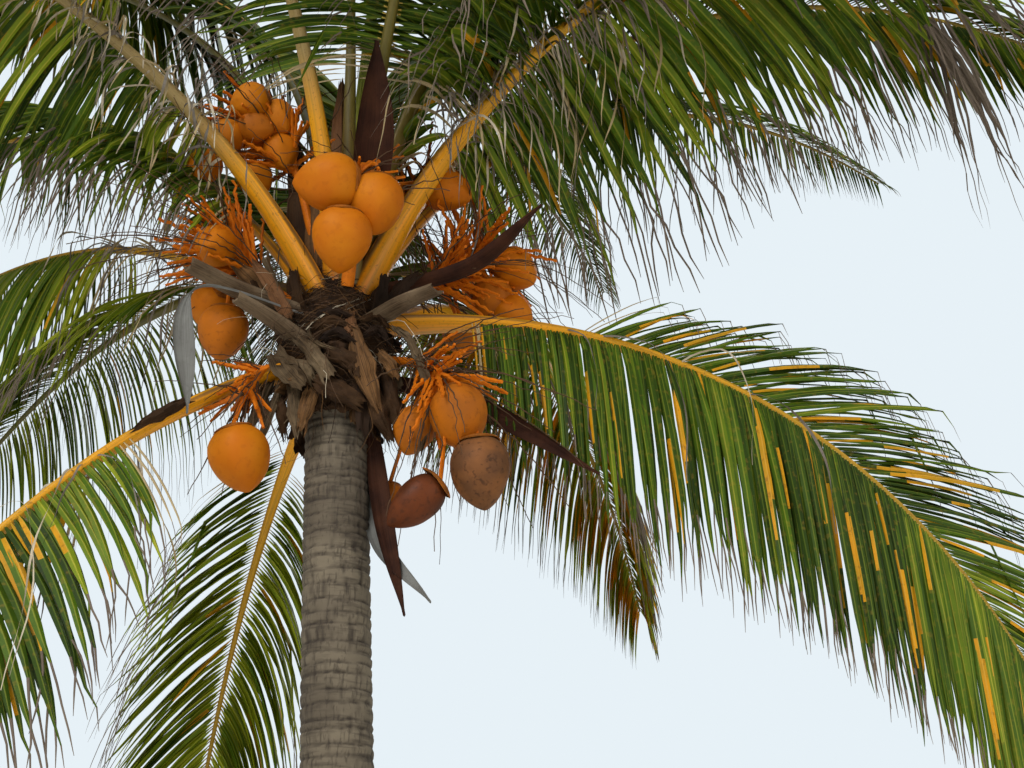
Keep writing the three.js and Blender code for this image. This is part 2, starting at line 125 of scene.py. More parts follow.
def ring(
    place: Place, side: Place, up: Place, around: Place, wide: float | Place, high: float | Place,
) -> Place:
    """The places of an oval ring, from its middle, its axes, their angles and its two half widths."""
    return place + (np.cos(around) * wide)[:, None] * side + (np.sin(around) * high)[:, None] * up


def centred(number: int, count: int) -> float:
    """A column's place across a plate, from -1 to 1."""
    return (number / (count - 1) - 0.5) * 2


def sideways(places: np.ndarray) -> Place:
    """A direction across a line of places."""
    way = unit(places[-1] - places[0])
    return unit(np.cross(way, UP if abs(way[2]) < 0.9 else np.array([1.0, 0.0, 0.0])))


class Path:
    """A smooth path through three crown places, with the axes of the limb that follows it."""

    def __init__(self, places: Sequence[tuple[float, float, float]], wide: Sequence[float] | None = None,
                 polar: bool = True):
        """Takes the three places, by turn, radius and height or else plain, and the way across the limb."""
        knots = [crown_place(*place) if polar else np.array(place) for place in places]
        turn = math.radians(places[1][0]) if polar else 0.0
        self.across = np.array(wide if wide else (-math.sin(turn), math.cos(turn), 0.0))
        self.knots = [2 * knots[0] - knots[1], *knots, 2 * knots[-1] - knots[-2]]

    def place(self, u: float) -> Place:
        """The place at a share of the path, on a curve whose knots lie as far apart as they look."""
        spans = len(self.knots) - 3
        span = min(int(max(u, 0.0) * spans), spans - 1)
        t = u * spans - span
        p0, p1, p2, p3 = self.knots[span:span + 4]
        d0, d1, d2 = (max(np.linalg.norm(b - a), 1e-6) ** 0.5 for a, b in ((p0, p1), (p1, p2), (p2, p3)))
        start = ((p1 - p0) / d0 - (p2 - p0) / (d0 + d1) + (p2 - p1) / d1) * d1
        end = ((p2 - p1) / d1 - (p3 - p1) / (d1 + d2) + (p3 - p2) / d2) * d1
        return (
            p1 + start * t
            + (3 * (p2 - p1) - 2 * start - end) * t ** 2
            + (2 * (p1 - p2) + start + end) * t ** 3
        )

    def axes(self, u: float) -> tuple[Place, Place, Place, Place]:
        """Place, along, side and up at a share of the path."""
        step = 1e-3
        along = unit(self.place(min(u + step, 1)) - self.place(max(u - step, 0)))
        side = unit(self.across - along * np.dot(self.across, along))
        return self.place(u), along, side, np.cross(along, side)

    def stations(self, count: int) -> Iterator[tuple[float, Place, Place, Place, Place]]:
        """Share, place, along, side and up at even steps from end to end."""
        for i in range(count):
            u = i / (count - 1)
            yield u, *self.axes(u)


# Finishes


class NodeSheet:
    """Places and joins the nodes of a material, a node group or a geometry tree."""

    def __init__(self, tree: bpy.types.NodeTree):
        """Takes the tree that the nodes go into."""
        self.tree = tree

    def fill(self, node: bpy.types.Node, inputs: dict) -> None:
        """Gives a node's inputs their values or links, each by its identifier, name or number."""
        labels = {socket.identifier: socket for socket in node.inputs}
        for key, value in inputs.items():
            socket = labels[key] if key in labels else node.inputs[key]
            if isinstance(value, Socket):
                self.tree.links.new(value, socket)
            else:
                socket.default_value = value

    def node(self, kind: str, inputs: dict | None = None, **settings: object) -> bpy.types.Node:
        """Adds a node.

        Args:
            kind: the node's type name.
            inputs: a value, or a socket to link, for each input by identifier, name or number.
            settings: the node's own properties.

        Returns:
            The new node.
        """
        node = self.tree.nodes.new(kind)
        for name, value in settings.items():
            setattr(node, name, value)
        self.fill(node, inputs or {})
        return node

    def group(self, name: str, **inputs: object) -> bpy.types.NodeOutputs:
        """The outputs of a shared node group with these inputs."""
        node = self.node("ShaderNodeGroup", node_tree=bpy.data.node_groups[name])
        self.fill(node, inputs)
        return node.outputs

    def math(self, operation: str, first: object, second: object = 0.0) -> Socket:
        """What an operation makes of one or two numbers."""
        return self.node("ShaderNodeMath", {0: first, 1: second}, operation=operation).outputs[0]

    def noise(self, place: Socket, scale: object, detail: float) -> Socket:
        """Smooth noise round 0.5 at a place."""
        inputs = {"Vector": place, "Scale": scale, "Detail": detail}
        return self.node("ShaderNodeTexNoise", inputs).outputs["Fac"]

    def ramp(self, factor: Socket, stops: Sequence[tuple[float, tuple]]) -> Socket:
        """A colour ramp read at a factor."""
        node = self.node("ShaderNodeValToRGB", {"Fac": factor})
        elements = node.color_ramp.elements
        while len(elements) < len(stops):
            elements.new(0.5)
        for element, (place, colour) in zip(elements, stops):
            element.position = place
            element.color = srgb(colour)
        return node.outputs["Color"]

    def mix(self, factor: object, first: object, second: object) -> Socket:
        """Two colours mixed by a factor."""
        return self.node("ShaderNodeMix", {0: factor, 6: first, 7: second}, data_type="RGBA").outputs[2]

    def span(self, value: object, low: float, high: float, top: object = 1.0) -> Socket:
        """A value's place between two limits, as 0 to top."""
        inputs = {"Value": value, "From Min": low, "From Max": high, "To Max": top}
        return self.node("ShaderNodeMapRange", inputs).outputs["Result"]


def shader_group(name: str, **inputs: object) -> NodeSheet:
    """A new shader node group with named inputs, and the outputs Colour and Height.

    Args:
        name: the group's name.
        inputs: the default of each input, which is a colour or a number.

    Returns:
        The sheet that the group's nodes are placed with.
    """
    tree = bpy.data.node_groups.new(name, "ShaderNodeTree")
    for label, value in inputs.items():
        kind = "NodeSocketColor" if isinstance(value, tuple) else "NodeSocketFloat"
        tree.interface.new_socket(label, in_out="INPUT", socket_type=kind).default_value = value
    tree.interface.new_socket("Colour", in_out="OUTPUT", socket_type="NodeSocketColor")
    tree.interface.new_socket("Height", in_out="OUTPUT", socket_type="NodeSocketFloat")
    return NodeSheet(tree)


GREY = (0.5, 0.5, 0.5, 1)


def weathering_group() -> None:
    """Makes the group of cloudy changes of colour with small spots, over the object's own coordinates."""
    sheet = shader_group("weathering", Base=GREY, Worn=GREY, Spot=GREY, Scale=8.0, Amount=0.7, Spots=0.3)
    given = sheet.node("NodeGroupInput").outputs
    place = sheet.node("ShaderNodeTexCoord").outputs["Object"]
    clouds = sheet.noise(place, given["Scale"], 5.0)
    colour = sheet.mix(sheet.span(clouds, 0.38, 0.64, given["Amount"]), given["Base"], given["Worn"])
    specks = sheet.noise(place, sheet.math("MULTIPLY", given["Scale"], 7.0), 3.0)
    colour = sheet.mix(sheet.span(specks, 0.56, 0.68, given["Spots"]), colour, given["Spot"])
    sheet.node("NodeGroupOutput", {"Colour": colour, "Height": specks})


def fibre_group() -> None:
    """Makes the group of fine streaks along a piece, over its UV map: U along it and V across."""
    sheet = shader_group("fibres", Base=GREY, Streak=GREY, Long=3.0, Fine=60.0, Amount=0.7)
    given = sheet.node("NodeGroupInput").outputs
    place = sheet.node("ShaderNodeSeparateXYZ", {0: sheet.node("ShaderNodeTexCoord").outputs["UV"]}).outputs
    along = sheet.math("MULTIPLY", place["X"], given["Long"])
    across = sheet.math("MULTIPLY", place["Y"], given["Fine"])
    streaks = sheet.noise(sheet.node("ShaderNodeCombineXYZ", {"X": along, "Y": across}).outputs[0], 1.0, 4.0)
    colour = sheet.mix(sheet.span(streaks, 0.36, 0.66, given["Amount"]), given["Base"], given["Streak"])
    sheet.node("NodeGroupOutput", {"Colour": colour, "Height": streaks})


@dataclass(frozen=True)
class Finish:
    """What every finish shares: a name, its gloss and relief, and the material that they make."""

    name: str
    _: KW_ONLY
    roughness: float = 0.6
    specular: float = 0.15
    bump: float = 0.2
    depth: float = 0.002

    def paint(self, sheet: NodeSheet) -> tuple[Socket, Socket | None]:
        """The finish's colour and, if it has a relief, its height."""
        raise NotImplementedError

    def material(self) -> bpy.types.Material:
        """The finish as a material."""
        material = bpy.data.materials.new(self.name)
        material.use_nodes = True
        sheet = NodeSheet(material.node_tree)
        colour, height = self.paint(sheet)
        inputs = {"Base Color": colour, "Roughness": self.roughness, "Specular IOR Level": self.specular}
        if height is not None:
            relief = {"Strength": self.bump, "Distance": self.depth, "Height": height}
            inputs["Normal"] = sheet.node("ShaderNodeBump", relief).outputs["Normal"]
        sheet.fill(sheet.tree.nodes["Principled BSDF"], inputs)
        return material


@dataclass(frozen=True)
class CloudyFinish(Finish):
    """A surface with cloudy changes of colour, spots and a fine bump."""

    base: tuple
    worn: tuple
    spot: tuple
    scale: float = 8.0
    amount: float = 0.7
    spots: float = 0.3

    def paint(self, sheet: NodeSheet) -> tuple[Socket, Socket | None]:
        """Clouds and spots, with the spots as the height."""
        made = sheet.group(
            "weathering", Base=srgb(self.base), Worn=srgb(self.worn), Spot=srgb(self.spot),
            Scale=self.scale, Amount=self.amount, Spots=self.spots,
        )
        return made["Colour"], made["Height"]


@dataclass(frozen=True)
class FibrousFinish(Finish):
    """A dry, woody surface with streaks along it and cloudy weathering over them."""

    base: tuple
    streak: tuple
    worn: tuple
    long: float = 3.0
    fine: float = 60.0
    amount: float = 0.8
    wear: float = 0.5
    _: KW_ONLY
    roughness: float = 0.8
    bump: float = 0.5
    depth: float = 0.003

    def paint(self, sheet: NodeSheet) -> tuple[Socket, Socket | None]:
        """Streaks below, weathering over them, and the streaks as the height."""
        fibres = sheet.group(
            "fibres", Base=srgb(self.base), Streak=srgb(self.streak),
            Long=self.long, Fine=self.fine, Amount=self.amount,
        )
        worn = sheet.group(
            "weathering", Base=fibres["Colour"], Worn=srgb(self.worn), Spot=srgb(self.streak),
            Scale=9.0, Amount=self.wear, Spots=0.25,
        )
        return worn["Colour"], fibres["Height"]


@dataclass(frozen=True)
class StalkFinish(Finish):
    """A living leaf stalk: amber below, green on top that is partly its own colour and partly painted shade,
    browner towards the leaf's tip.
    """

    stops: tuple
    green: tuple
    margin: tuple = (92, 66, 40)
    speck: tuple = (92, 58, 24)
    _: KW_ONLY
    roughness: float = 0.42
    specular: float = 0.3
    bump: float = 0.15

    def paint(self, sheet: NodeSheet) -> tuple[Socket, Socket | None]:
        """The colour along the stalk, its green back that is partly painted shade, its ragged lower margins
        and its specks.
        """
        coordinates = sheet.node("ShaderNodeTexCoord").outputs
        place = sheet.node("ShaderNodeSeparateXYZ", {0: coordinates["UV"]}).outputs
        # V runs round the stalk: 0.25 is the middle of its upper face, 0.75 of its lower one
        off_top = sheet.math("ABSOLUTE", sheet.math("SUBTRACT", place["Y"], 0.25))
        patchy = sheet.span(sheet.noise(coordinates["Object"], 9.0, 5.0), 0.35, 0.6)
        # The upper face goes to the green colour: partly the stalk's own green, partly painted shade
        green_and_painted_shade = sheet.math("MULTIPLY", sheet.span(off_top, 0.3, 0.12, 0.75), patchy)
        colour = sheet.mix(green_and_painted_shade, sheet.ramp(place["X"], self.stops), srgb(self.green))
        fibres = sheet.group("fibres", Base=colour, Streak=srgb(self.green), Long=9.0, Fine=26.0, Amount=0.5)
        # The margins are where the stalk's side turns under, half-way round from top to bottom
        round_it = sheet.math("SINE", sheet.math("MULTIPLY", place["Y"], 2 * math.pi))
        margin = sheet.span(sheet.math("ABSOLUTE", round_it), 0.3, 0.1, 0.85)
        ragged = sheet.math("MULTIPLY", margin, sheet.span(place["X"], 0.24, 0.1))
        colour = sheet.mix(ragged, fibres["Colour"], srgb(self.margin))
        specks = sheet.noise(coordinates["Object"], 90.0, 3.0)
        return sheet.mix(sheet.span(specks, 0.6, 0.72, 0.5), colour, srgb(self.speck)), specks


@dataclass(frozen=True)
class BarkFinish(Finish):
    """Grey-brown palm bark: dark in its ring scars and cracks, which the mesh marks."""

    light: tuple
    mid: tuple
    dark: tuple
    _: KW_ONLY
    roughness: float = 0.92
    specular: float = 0.5
    bump: float = 0.6
    depth: float = 0.004

    def paint(self, sheet: NodeSheet) -> tuple[Socket, Socket | None]:
        """Clouds, level rings, upright cracks and the marked scars, with the cracks as the height."""
        place = sheet.node("ShaderNodeTexCoord").outputs["Object"]

        def stretched(height_scale: float) -> Socket:
            """The place with its height scaled."""
            inputs = {"Vector": place, "Scale": (1.0, 1.0, height_scale)}
            return sheet.node("ShaderNodeMapping", inputs).outputs[0]

        cracks = sheet.noise(stretched(0.22), 95.0, 4.0)
        rings = sheet.noise(stretched(7.0), 9.0, 5.0)
        scars = sheet.node("ShaderNodeAttribute", attribute_name="scar").outputs["Fac"]
        clouds = sheet.span(sheet.noise(place, 5.0, 6.0), 0.35, 0.62)
        colour = sheet.mix(clouds, srgb(self.light), srgb(self.mid))
        for share in (sheet.span(rings, 0.5, 0.68, 0.6), sheet.span(cracks, 0.53, 0.66, 0.55), scars):
            colour = sheet.mix(share, colour, srgb(self.dark))
        return colour, cracks


@dataclass(frozen=True)
class LeafFinish(Finish):
    """A leaflet's skin: cloudy, specked with yellow, and paler along the fold that is its midrib."""

    base: tuple
    worn: tuple
    spot: tuple
    midrib: tuple
    spots: float = 0.22
    amount: float = 0.6
    _: KW_ONLY
    roughness: float = 0.55

    def paint(self, sheet: NodeSheet) -> tuple[Socket, Socket | None]:
        """Clouds and specks, and the midrib where the mesh marks its fold; no height."""
        made = sheet.group(
            "weathering", Base=srgb(self.base), Worn=srgb(self.worn), Spot=srgb(self.spot),
            Scale=6.0, Amount=self.amount, Spots=self.spots,
        )
        fold = sheet.node("ShaderNodeAttribute", attribute_name="ridge").outputs["Fac"]
        return sheet.mix(sheet.span(fold, 0.74, 0.94, 0.85), made["Colour"], srgb(self.midrib)), None


def leaf_finish(name: str, colour: tuple[int, int, int], midrib: tuple[int, int, int]) -> LeafFinish:
    """One leaflet colour with slightly lighter clouds and yellow specks."""
    lighter = tuple(min(255, int(part * 1.2) + 4) for part in colour)
    return LeafFinish(name, colour, lighter, (158, 122, 40), midrib)


# Leaflet colours, dealt out leaflet by leaflet and step by step, each with its midrib's colour
LEAF_TONES = {
    "leaf_deep": ((33, 50, 4), (78, 94, 24)), "leaf_dark": ((45, 65, 6), (100, 112, 30)),
    "leaf_green": ((60, 83, 9), (122, 130, 38)), "leaf_olive": ((81, 98, 14), (144, 142, 46)),
    "leaf_light": ((104, 118, 20), (162, 158, 54)), "leaf_lime": ((126, 136, 26), (182, 174, 66)),
    "leaf_straw": ((150, 132, 98), (170, 154, 120)),
}
DEEPEST_TONE, LIGHTEST_TONE, STRAW_TONE = 0, 5, 6
LEAF_MARKS = (("patch", "leaf_amber"), ("dry", "leaf_dry"), ("root", "leaf_root"))

FINISHES = (
    BarkFinish("bark", light=(112, 101, 84), mid=(88, 78, 64), dark=(42, 33, 25)),
    # Dry finishes: base, streak and worn colour, then how long and fine the streaks are
    FibrousFinish("sheath_brown", (56, 36, 19), (14, 9, 5), (77, 54, 32)),
    FibrousFinish("sheath_dark", (36, 23, 14), (12, 8, 5), (54, 37, 24)),
    FibrousFinish("plate_tan", (122, 86, 50), (38, 25, 14), (88, 64, 42), 2.0, 24.0, amount=1.0),
    FibrousFinish("plate_grey", (92, 74, 52), (32, 23, 15), (124, 106, 82), 2.0, 24.0, amount=1.0),
    FibrousFinish("stub_grey", (100, 82, 62), (50, 37, 26), (128, 110, 88), 4.0, 40.0),
    FibrousFinish("spathe_dark", (56, 30, 20), (20, 11, 8), (84, 50, 32), 2.5, 46.0),
    FibrousFinish("spathe_brown", (124, 82, 50), (66, 42, 28), (104, 78, 54), 2.5, 46.0),
    FibrousFinish("spathe_grey", (116, 116, 112), (84, 80, 76), (140, 140, 136), 2.5, 46.0,
                  wear=0.35, bump=0.25),
    # Stalks: colours from the stem to the leaf's tip, and the green of the upper face, which is partly
    # painted shade
    StalkFinish("stalk_amber", (
        (0.0, (186, 104, 2)), (0.05, (232, 146, 4)), (0.2, (232, 156, 8)),
        (0.4, (204, 148, 22)), (0.7, (158, 124, 32)), (1.0, (118, 104, 30)),
    ), green=(122, 106, 22)),
    StalkFinish("stalk_frayed", (
        (0.0, (186, 104, 2)), (0.05, (232, 146, 4)), (0.17, (222, 150, 14)),
        (0.24, (156, 132, 86)), (0.6, (136, 118, 84)), (1.0, (118, 104, 60)),
    ), green=(122, 106, 40)),
    # The inner fronds' stalks: the amber stalk's colours darkened to olive as painted shade
    StalkFinish("stalk_painted_shade", (
        (0.0, (96, 68, 32)), (0.06, (120, 92, 36)), (0.2, (112, 96, 38)),
        (0.4, (110, 100, 44)), (0.7, (106, 98, 46)), (1.0, (98, 92, 44)),
    ), green=(78, 80, 34)),
    # Cloudy finishes: base, worn and spot colour, then the clouds' scale, amount and spots
    CloudyFinish("nut_orange", (180, 96, 3), (190, 112, 10), (150, 74, 8), 6.0, 0.9, 0.3),
    CloudyFinish("nut_dull", (178, 98, 12), (150, 84, 22), (90, 52, 20), 7.0, 0.9, 0.35, bump=0.12),
    CloudyFinish("nut_weathered", (130, 82, 44), (86, 56, 34), (46, 30, 20), 9.0, 0.9, 0.6, bump=0.3),
    CloudyFinish("nut_red", (98, 48, 20), (66, 34, 18), (40, 24, 15), 8.0, 0.9, 0.4, roughness=0.5),
    CloudyFinish("calyx", (160, 92, 26), (104, 64, 28), (60, 38, 22), 22.0, 0.8, 0.4,
                 roughness=0.7, bump=0.3),
    CloudyFinish("twig_orange", (208, 112, 14), (180, 88, 14), (110, 60, 20), 18.0, 0.7, 0.3, bump=0.3),
    CloudyFinish("twig_dry", (70, 52, 38), (96, 72, 50), (40, 30, 24), 18.0, 0.6, 0.3, roughness=0.8),
    CloudyFinish("strand_grey", (120, 112, 102), (92, 82, 72), (70, 60, 52), 12.0, 0.7, 0.3,
                 roughness=0.8, bump=0.1),
    CloudyFinish("strand_pale", (190, 178, 156), (150, 134, 110), (110, 92, 72), 12.0, 0.7, 0.3,
                 roughness=0.7, bump=0.1),
    CloudyFinish("spear_green", (158, 160, 66), (128, 138, 48), (190, 176, 90), 6.0, 0.8, 0.2,
                 roughness=0.45, bump=0.1),
    # Leaflets: base, cloud, speck and midrib colour
    *(leaf_finish(name, *colours) for name, colours in LEAF_TONES.items()),
    LeafFinish("leaf_amber", (206, 142, 16), (160, 126, 20), (120, 78, 20), (200, 150, 54), 0.5, 0.8),
    LeafFinish("leaf_dry", (98, 86, 76), (126, 112, 98), (70, 56, 46), (120, 106, 92), roughness=0.8),
    LeafFinish("leaf_root", (168, 142, 62), (150, 118, 50), (110, 80, 36), (180, 156, 80)),
)
MADE: dict[str, bpy.types.Material] = {}


def material(name: str) -> bpy.types.Material:
    """A finish's material by its name, made when it is first asked for."""
    if name not in MADE:
        MADE[name] = next(finish for finish in FINISHES if finish.name == name).material()
    return MADE[name]


# Meshes


class MeshDraft:
    """Closed forms gathered one after another into one mesh with several finishes."""

    def __init__(self, *finishes: str):
        """Takes the names of the finishes that the forms use."""
        self.finishes = finishes
        self.points: list[np.ndarray] = []
        self.faces: list[list[int]] = []
        self.slots: list[int] = []
        self.uvs: list[tuple[float, float]] = []
        self.count = 0

    def _face(self, corners: list[int], slot: int, uvs: Sequence[tuple[float, float]]) -> None:
        """Adds one face with its finish and the map place of each corner."""
        self.faces.append(corners)
        self.slots.append(slot)
        self.uvs.extend(uvs)

    def tube(self, rings: Sequence[Place], finish: str) -> None:
        """Adds a closed tube.

        Args:
            rings: the places of each ring, which turn from the side axis to the up axis.
            finish: the name of its finish.
        """
        rings = np.array(rings)
        count, sides = rings.shape[:2]
        slot = self.finishes.index(finish)
        first = self.count
        self.points.append(rings.reshape(-1, 3))
        self.count += count * sides
        along = np.linspace(0.0, 1.0, count)
        for i in range(count - 1):
            near, far = first + i * sides, first + (i + 1) * sides
            for k in range(sides):
                n = (k + 1) % sides
                self._face([near + k, near + n, far + n, far + k], slot, (
                    (along[i], k / sides), (along[i], (k + 1) / sides),
                    (along[i + 1], (k + 1) / sides), (along[i + 1], k / sides),
                ))
        last = first + (count - 1) * sides
        self._face([first + k for k in reversed(range(sides))], slot, [(0.0, 0.5)] * sides)
        self._face([last + k for k in range(sides)], slot, [(1.0, 0.5)] * sides)

    def slab(self, upper: np.ndarray, lower: np.ndarray, finish: str, under: str | None = None) -> None:
        """Adds a closed plate between two grids of places, the second one below the first.

        Args:
            upper: grid of places of the upper face, rows along the plate.
            lower: the same for the lower face.
            finish: the finish of the upper face and the rim.
            under: the finish of the lower face, if it differs.
        """
        rows, columns = upper.shape[:2]
        slot = self.finishes.index(finish)
        low_slot = self.finishes.index(under or finish)
        first = self.count
        size = rows * columns
        self.points += [upper.reshape(-1, 3), lower.reshape(-1, 3)]
        self.count += 2 * size

        def spot(i: int, k: int, low: bool) -> int:
            """The number of a grid vertex."""
            return first + (size if low else 0) + i * columns + k

        def at(i: int, k: int) -> tuple[float, float]:
            """The map place of a grid vertex."""
            return i / (rows - 1), k / (columns - 1)

        for i in range(rows - 1):
            for k in range(columns - 1):
                corners = [(i, k), (i, k + 1), (i + 1, k + 1), (i + 1, k)]
                back = corners[::-1]
                self._face([spot(*c, False) for c in back], slot, [at(*c) for c in back])
                self._face([spot(*c, True) for c in corners], low_slot, [at(*c) for c in corners])
        edge = [(0, k) for k in range(columns - 1)] + [(i, columns - 1) for i in range(rows - 1)]
        edge += [(rows - 1, k) for k in range(columns - 1, 0, -1)] + [(i, 0) for i in range(rows - 1, 0, -1)]
        for here, there in zip(edge, edge[1:] + edge[:1]):
            self._face(
                [spot(*here, False), spot(*there, False), spot(*there, True), spot(*here, True)],
                slot, [at(*here), at(*there), at(*there), at(*here)],
            )

    def build(self, name: str, smooth: float = 40.0) -> bpy.types.Object:
        """The gathered forms as one object at the origin.

        Args:
            name: the object's name.
            smooth: faces that meet at less than this angle are shaded smoothly.

        Returns:
            The new object.
        """
        mesh = bpy.data.meshes.new(name)
        mesh.from_pydata(np.concatenate(self.points).tolist(), [], self.faces)
        for finish in self.finishes:
            mesh.materials.append(material(finish))
        mesh.polygons.foreach_set("material_index", self.slots)
        mesh.uv_layers.new(name="along").data.foreach_set("uv", np.array(self.uvs, dtype=float).ravel())
        return shown(name, mesh, smooth)


def linked(name: str, data: bpy.types.ID) -> bpy.types.Object:
    """A mesh, lamp or camera as a new object in the scene."""
    piece = bpy.data.objects.new(name, data)
    bpy.context.scene.collection.objects.link(piece)
    return piece


def shown(name: str, mesh: bpy.types.Mesh, smooth: float) -> bpy.types.Object:
    """A mesh as an object in the scene, with its flat angles shaded smoothly."""
    mesh.polygons.foreach_set("use_smooth", [True] * len(mesh.polygons))
    mesh.set_sharp_from_angle(angle=math.radians(smooth))
    mesh.update()
    return linked(name, mesh)


def tag(piece: bpy.types.Object, nodes: Sequence[str]) -> None:
    """Rides a piece on the rooted body in place of its solids, and reports it."""
    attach(piece, "root")
    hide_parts(*nodes)
    triangles = sum(len(face.vertices) - 2 for face in piece.data.polygons)
    log.info("%s: %d triangles in place of %d solids", piece.name, triangles, len(nodes))


class Profile(Enum):
    """The cross-sections that a strand can have."""

    BLADE = "a thin blade folded along its middle"
    STRIP = "a flat strip"
    TWIG = "a round twig"


@dataclass
class Strand:
    """One blade or twig: its middle line, half width and upper side, place by place."""

    places: np.ndarray
    girth: np.ndarray
    facing: np.ndarray
    tone: int = 0
    dry: np.ndarray | None = None
    patch: np.ndarray | None = None
    root: np.ndarray | None = None


class StrandBundle:
    """Many strands that one node tree sweeps into closed forms and joins."""

    FOLD = {Profile.BLADE: 0.42, Profile.STRIP: 0.06, Profile.TWIG: 0.0}
    SMOOTH = {Profile.BLADE: 28.0, Profile.STRIP: 60.0, Profile.TWIG: 60.0}
    CARRIED = ("girth", "facing", "tone", "patch", "dry", "root", "edge")
    MARKED = 0.6

    def __init__(self, profile: Profile, tones: Sequence[str], marks: Sequence[tuple[str, str]] = ()):
        """Takes the cross-section, the finishes by tone, and the finish of each mark."""
        self.profile = profile
        self.tones = tones
        self.marks = marks
        self.strands: list[Strand] = []

    def _lines(self, name: str) -> bpy.types.Object:
        """The strands' middle lines as edges that carry their sizes as attributes."""
        mesh = bpy.data.meshes.new(f"{name}_lines")
        edges, start = [], 0
        for strand in self.strands:
            size = len(strand.places)
            edges += [(k, k + 1) for k in range(start, start + size - 1)]
            start += size

        def joined(label: str) -> np.ndarray:
            """One field of all the strands, place by place, and zero where a strand has none."""
            rows = ((getattr(strand, label), len(strand.places)) for strand in self.strands)
            return np.concatenate([
                row if isinstance(row, np.ndarray) else np.full(size, row or 0) for row, size in rows
            ])

        def store(label: str, kind: str) -> None:
            """Keeps one field as an attribute."""
            layer = mesh.attributes.new(label, kind, "POINT")
            layer.data.foreach_set("vector" if kind == "FLOAT_VECTOR" else "value", joined(label).ravel())

        mesh.from_pydata(joined("places").tolist(), edges, [])
        store("girth", "FLOAT")
        store("facing", "FLOAT_VECTOR")
        store("tone", "INT")
        for label, _ in self.marks:
            store(label, "FLOAT")
        return linked(f"{name}_lines", mesh)

    def _outline(self, sheet: NodeSheet, given: bpy.types.NodeOutputs) -> Socket:
        """The cross-section as a curve: a circle, or four corners that run edge, fold, edge, fold."""
        if self.profile is Profile.TWIG:
            inputs = {"Resolution": given["Sides"], "Radius": 1.0}
            return sheet.node("GeometryNodeCurvePrimitiveCircle", inputs).outputs[0]
        corners = {"Point 1": (0.0, 1.0, 0.0), "Point 3": (0.0, -1.0, 0.0)}
        for corner, operation in (("Point 2", "ADD"), ("Point 4", "SUBTRACT")):
            height = sheet.math(operation, given["Fold"], given["Thickness"])
            corners[corner] = sheet.node("ShaderNodeCombineXYZ", {"X": height}).outputs[0]
        outline = sheet.node("GeometryNodeCurvePrimitiveQuadrilateral", corners, mode="POINTS").outputs[0]
        # The ridge marks the two folds, and the edge tells one edge from the other
        number = sheet.node("GeometryNodeInputIndex").outputs[0]
        for label, operation in (("ridge", "MODULO"), ("edge", "PINGPONG")):
            inputs = {"Geometry": outline, "Name": label, "Value": sheet.math(operation, number, 2.0)}
            outline = sheet.node(
                "GeometryNodeStoreNamedAttribute", inputs, data_type="FLOAT", domain="POINT",
            ).outputs[0]
        return outline

    def _tree(self, name: str) -> bpy.types.NodeTree:
        """The node tree that sweeps the profile along each line and deals out the finishes."""
        tree = bpy.data.node_groups.new(f"{name}_sweep", "GeometryNodeTree")
        kinds = {"Geometry": "Geometry", "Fold": "Float", "Thickness": "Float", "Sides": "Int"}
        for label, kind in kinds.items():
            tree.interface.new_socket(label, in_out="INPUT", socket_type=f"NodeSocket{kind}")
        tree.interface.new_socket("Geometry", in_out="OUTPUT", socket_type="NodeSocketGeometry")
        sheet = NodeSheet(tree)
        given = sheet.node("NodeGroupInput").outputs

        def attribute(label: str, kind: str) -> Socket:
            """A value that the lines carry."""
            node = sheet.node("GeometryNodeInputNamedAttribute", {"Name": label}, data_type=kind)
            return node.outputs["Attribute"]

        def painted(form: Socket, where: bpy.types.Node, finish: str) -> Socket:
            """A form with a finish on the faces that a comparison picks."""
            inputs = {"Geometry": form, "Selection": where.outputs[0], "Material": material(finish)}
            return sheet.node("GeometryNodeSetMaterial", inputs).outputs[0]

        lines = sheet.node("GeometryNodeMeshToCurve", {"Mesh": given["Geometry"]}).outputs[0]
        inputs = {"Curve": lines, "Normal": attribute("facing", "FLOAT_VECTOR")}
        lines = sheet.node("GeometryNodeSetCurveNormal", inputs, mode="FREE").outputs[0]
        form = sheet.node("GeometryNodeCurveToMesh", {
            "Curve": lines, "Profile Curve": self._outline(sheet, given),
            "Scale": attribute("girth", "FLOAT"), "Fill Caps": True,
        }).outputs[0]
        for number, finish in enumerate(self.tones):
            inputs = {"A_INT": attribute("tone", "INT"), "B_INT": number}
            same = sheet.node("FunctionNodeCompare", inputs, data_type="INT", operation="EQUAL")
            form = painted(form, same, finish)
        for label, finish in self.marks:
            # A weak patch colours one half of the blade, and a strong one both
            least = self.MARKED
            if label == "patch":
                least = sheet.math("ADD", attribute("edge", "FLOAT"), self.MARKED)
            inputs = {"A": attribute(label, "FLOAT"), "B": least}
            marked = sheet.node("FunctionNodeCompare", inputs, data_type="FLOAT", operation="GREATER_THAN")
            form = painted(form, marked, finish)
        form = sheet.node("GeometryNodeRealizeInstances", {"Geometry": form}).outputs[0]
        sheet.node("NodeGroupOutput", {"Geometry": form})
        return tree

    def build(self, name: str, sides: int = 5, thickness: float = 0.05) -> bpy.types.Object:
        """The swept strands as one plain mesh object.

        Args:
            name: the object's name.
            sides: how many sides a round twig has.
            thickness: half the thickness of a blade, as a share of its half width.

        Returns:
            The new object.
        """
        lines = self._lines(name)
        modifier = lines.modifiers.new("sweep", "NODES")
        modifier.node_group = self._tree(name)
        values = {"Fold": self.FOLD[self.profile], "Thickness": thickness, "Sides": sides}
        for item in modifier.node_group.interface.items_tree:
            if item.in_out == "INPUT" and item.name in values:
                modifier[item.identifier] = values[item.name]
        graph = bpy.context.evaluated_depsgraph_get()
        mesh = bpy.data.meshes.new_from_object(lines.evaluated_get(graph))
        lines.modifiers.remove(modifier)
        source = lines.data
        bpy.data.objects.remove(lines)
        bpy.data.meshes.remove(source)
        for label in self.CARRIED:
            if label in mesh.attributes:
                mesh.attributes.remove(mesh.attributes[label])
        mesh.name = name
        return shown(name, mesh, self.SMOOTH[self.profile])


# Trunk


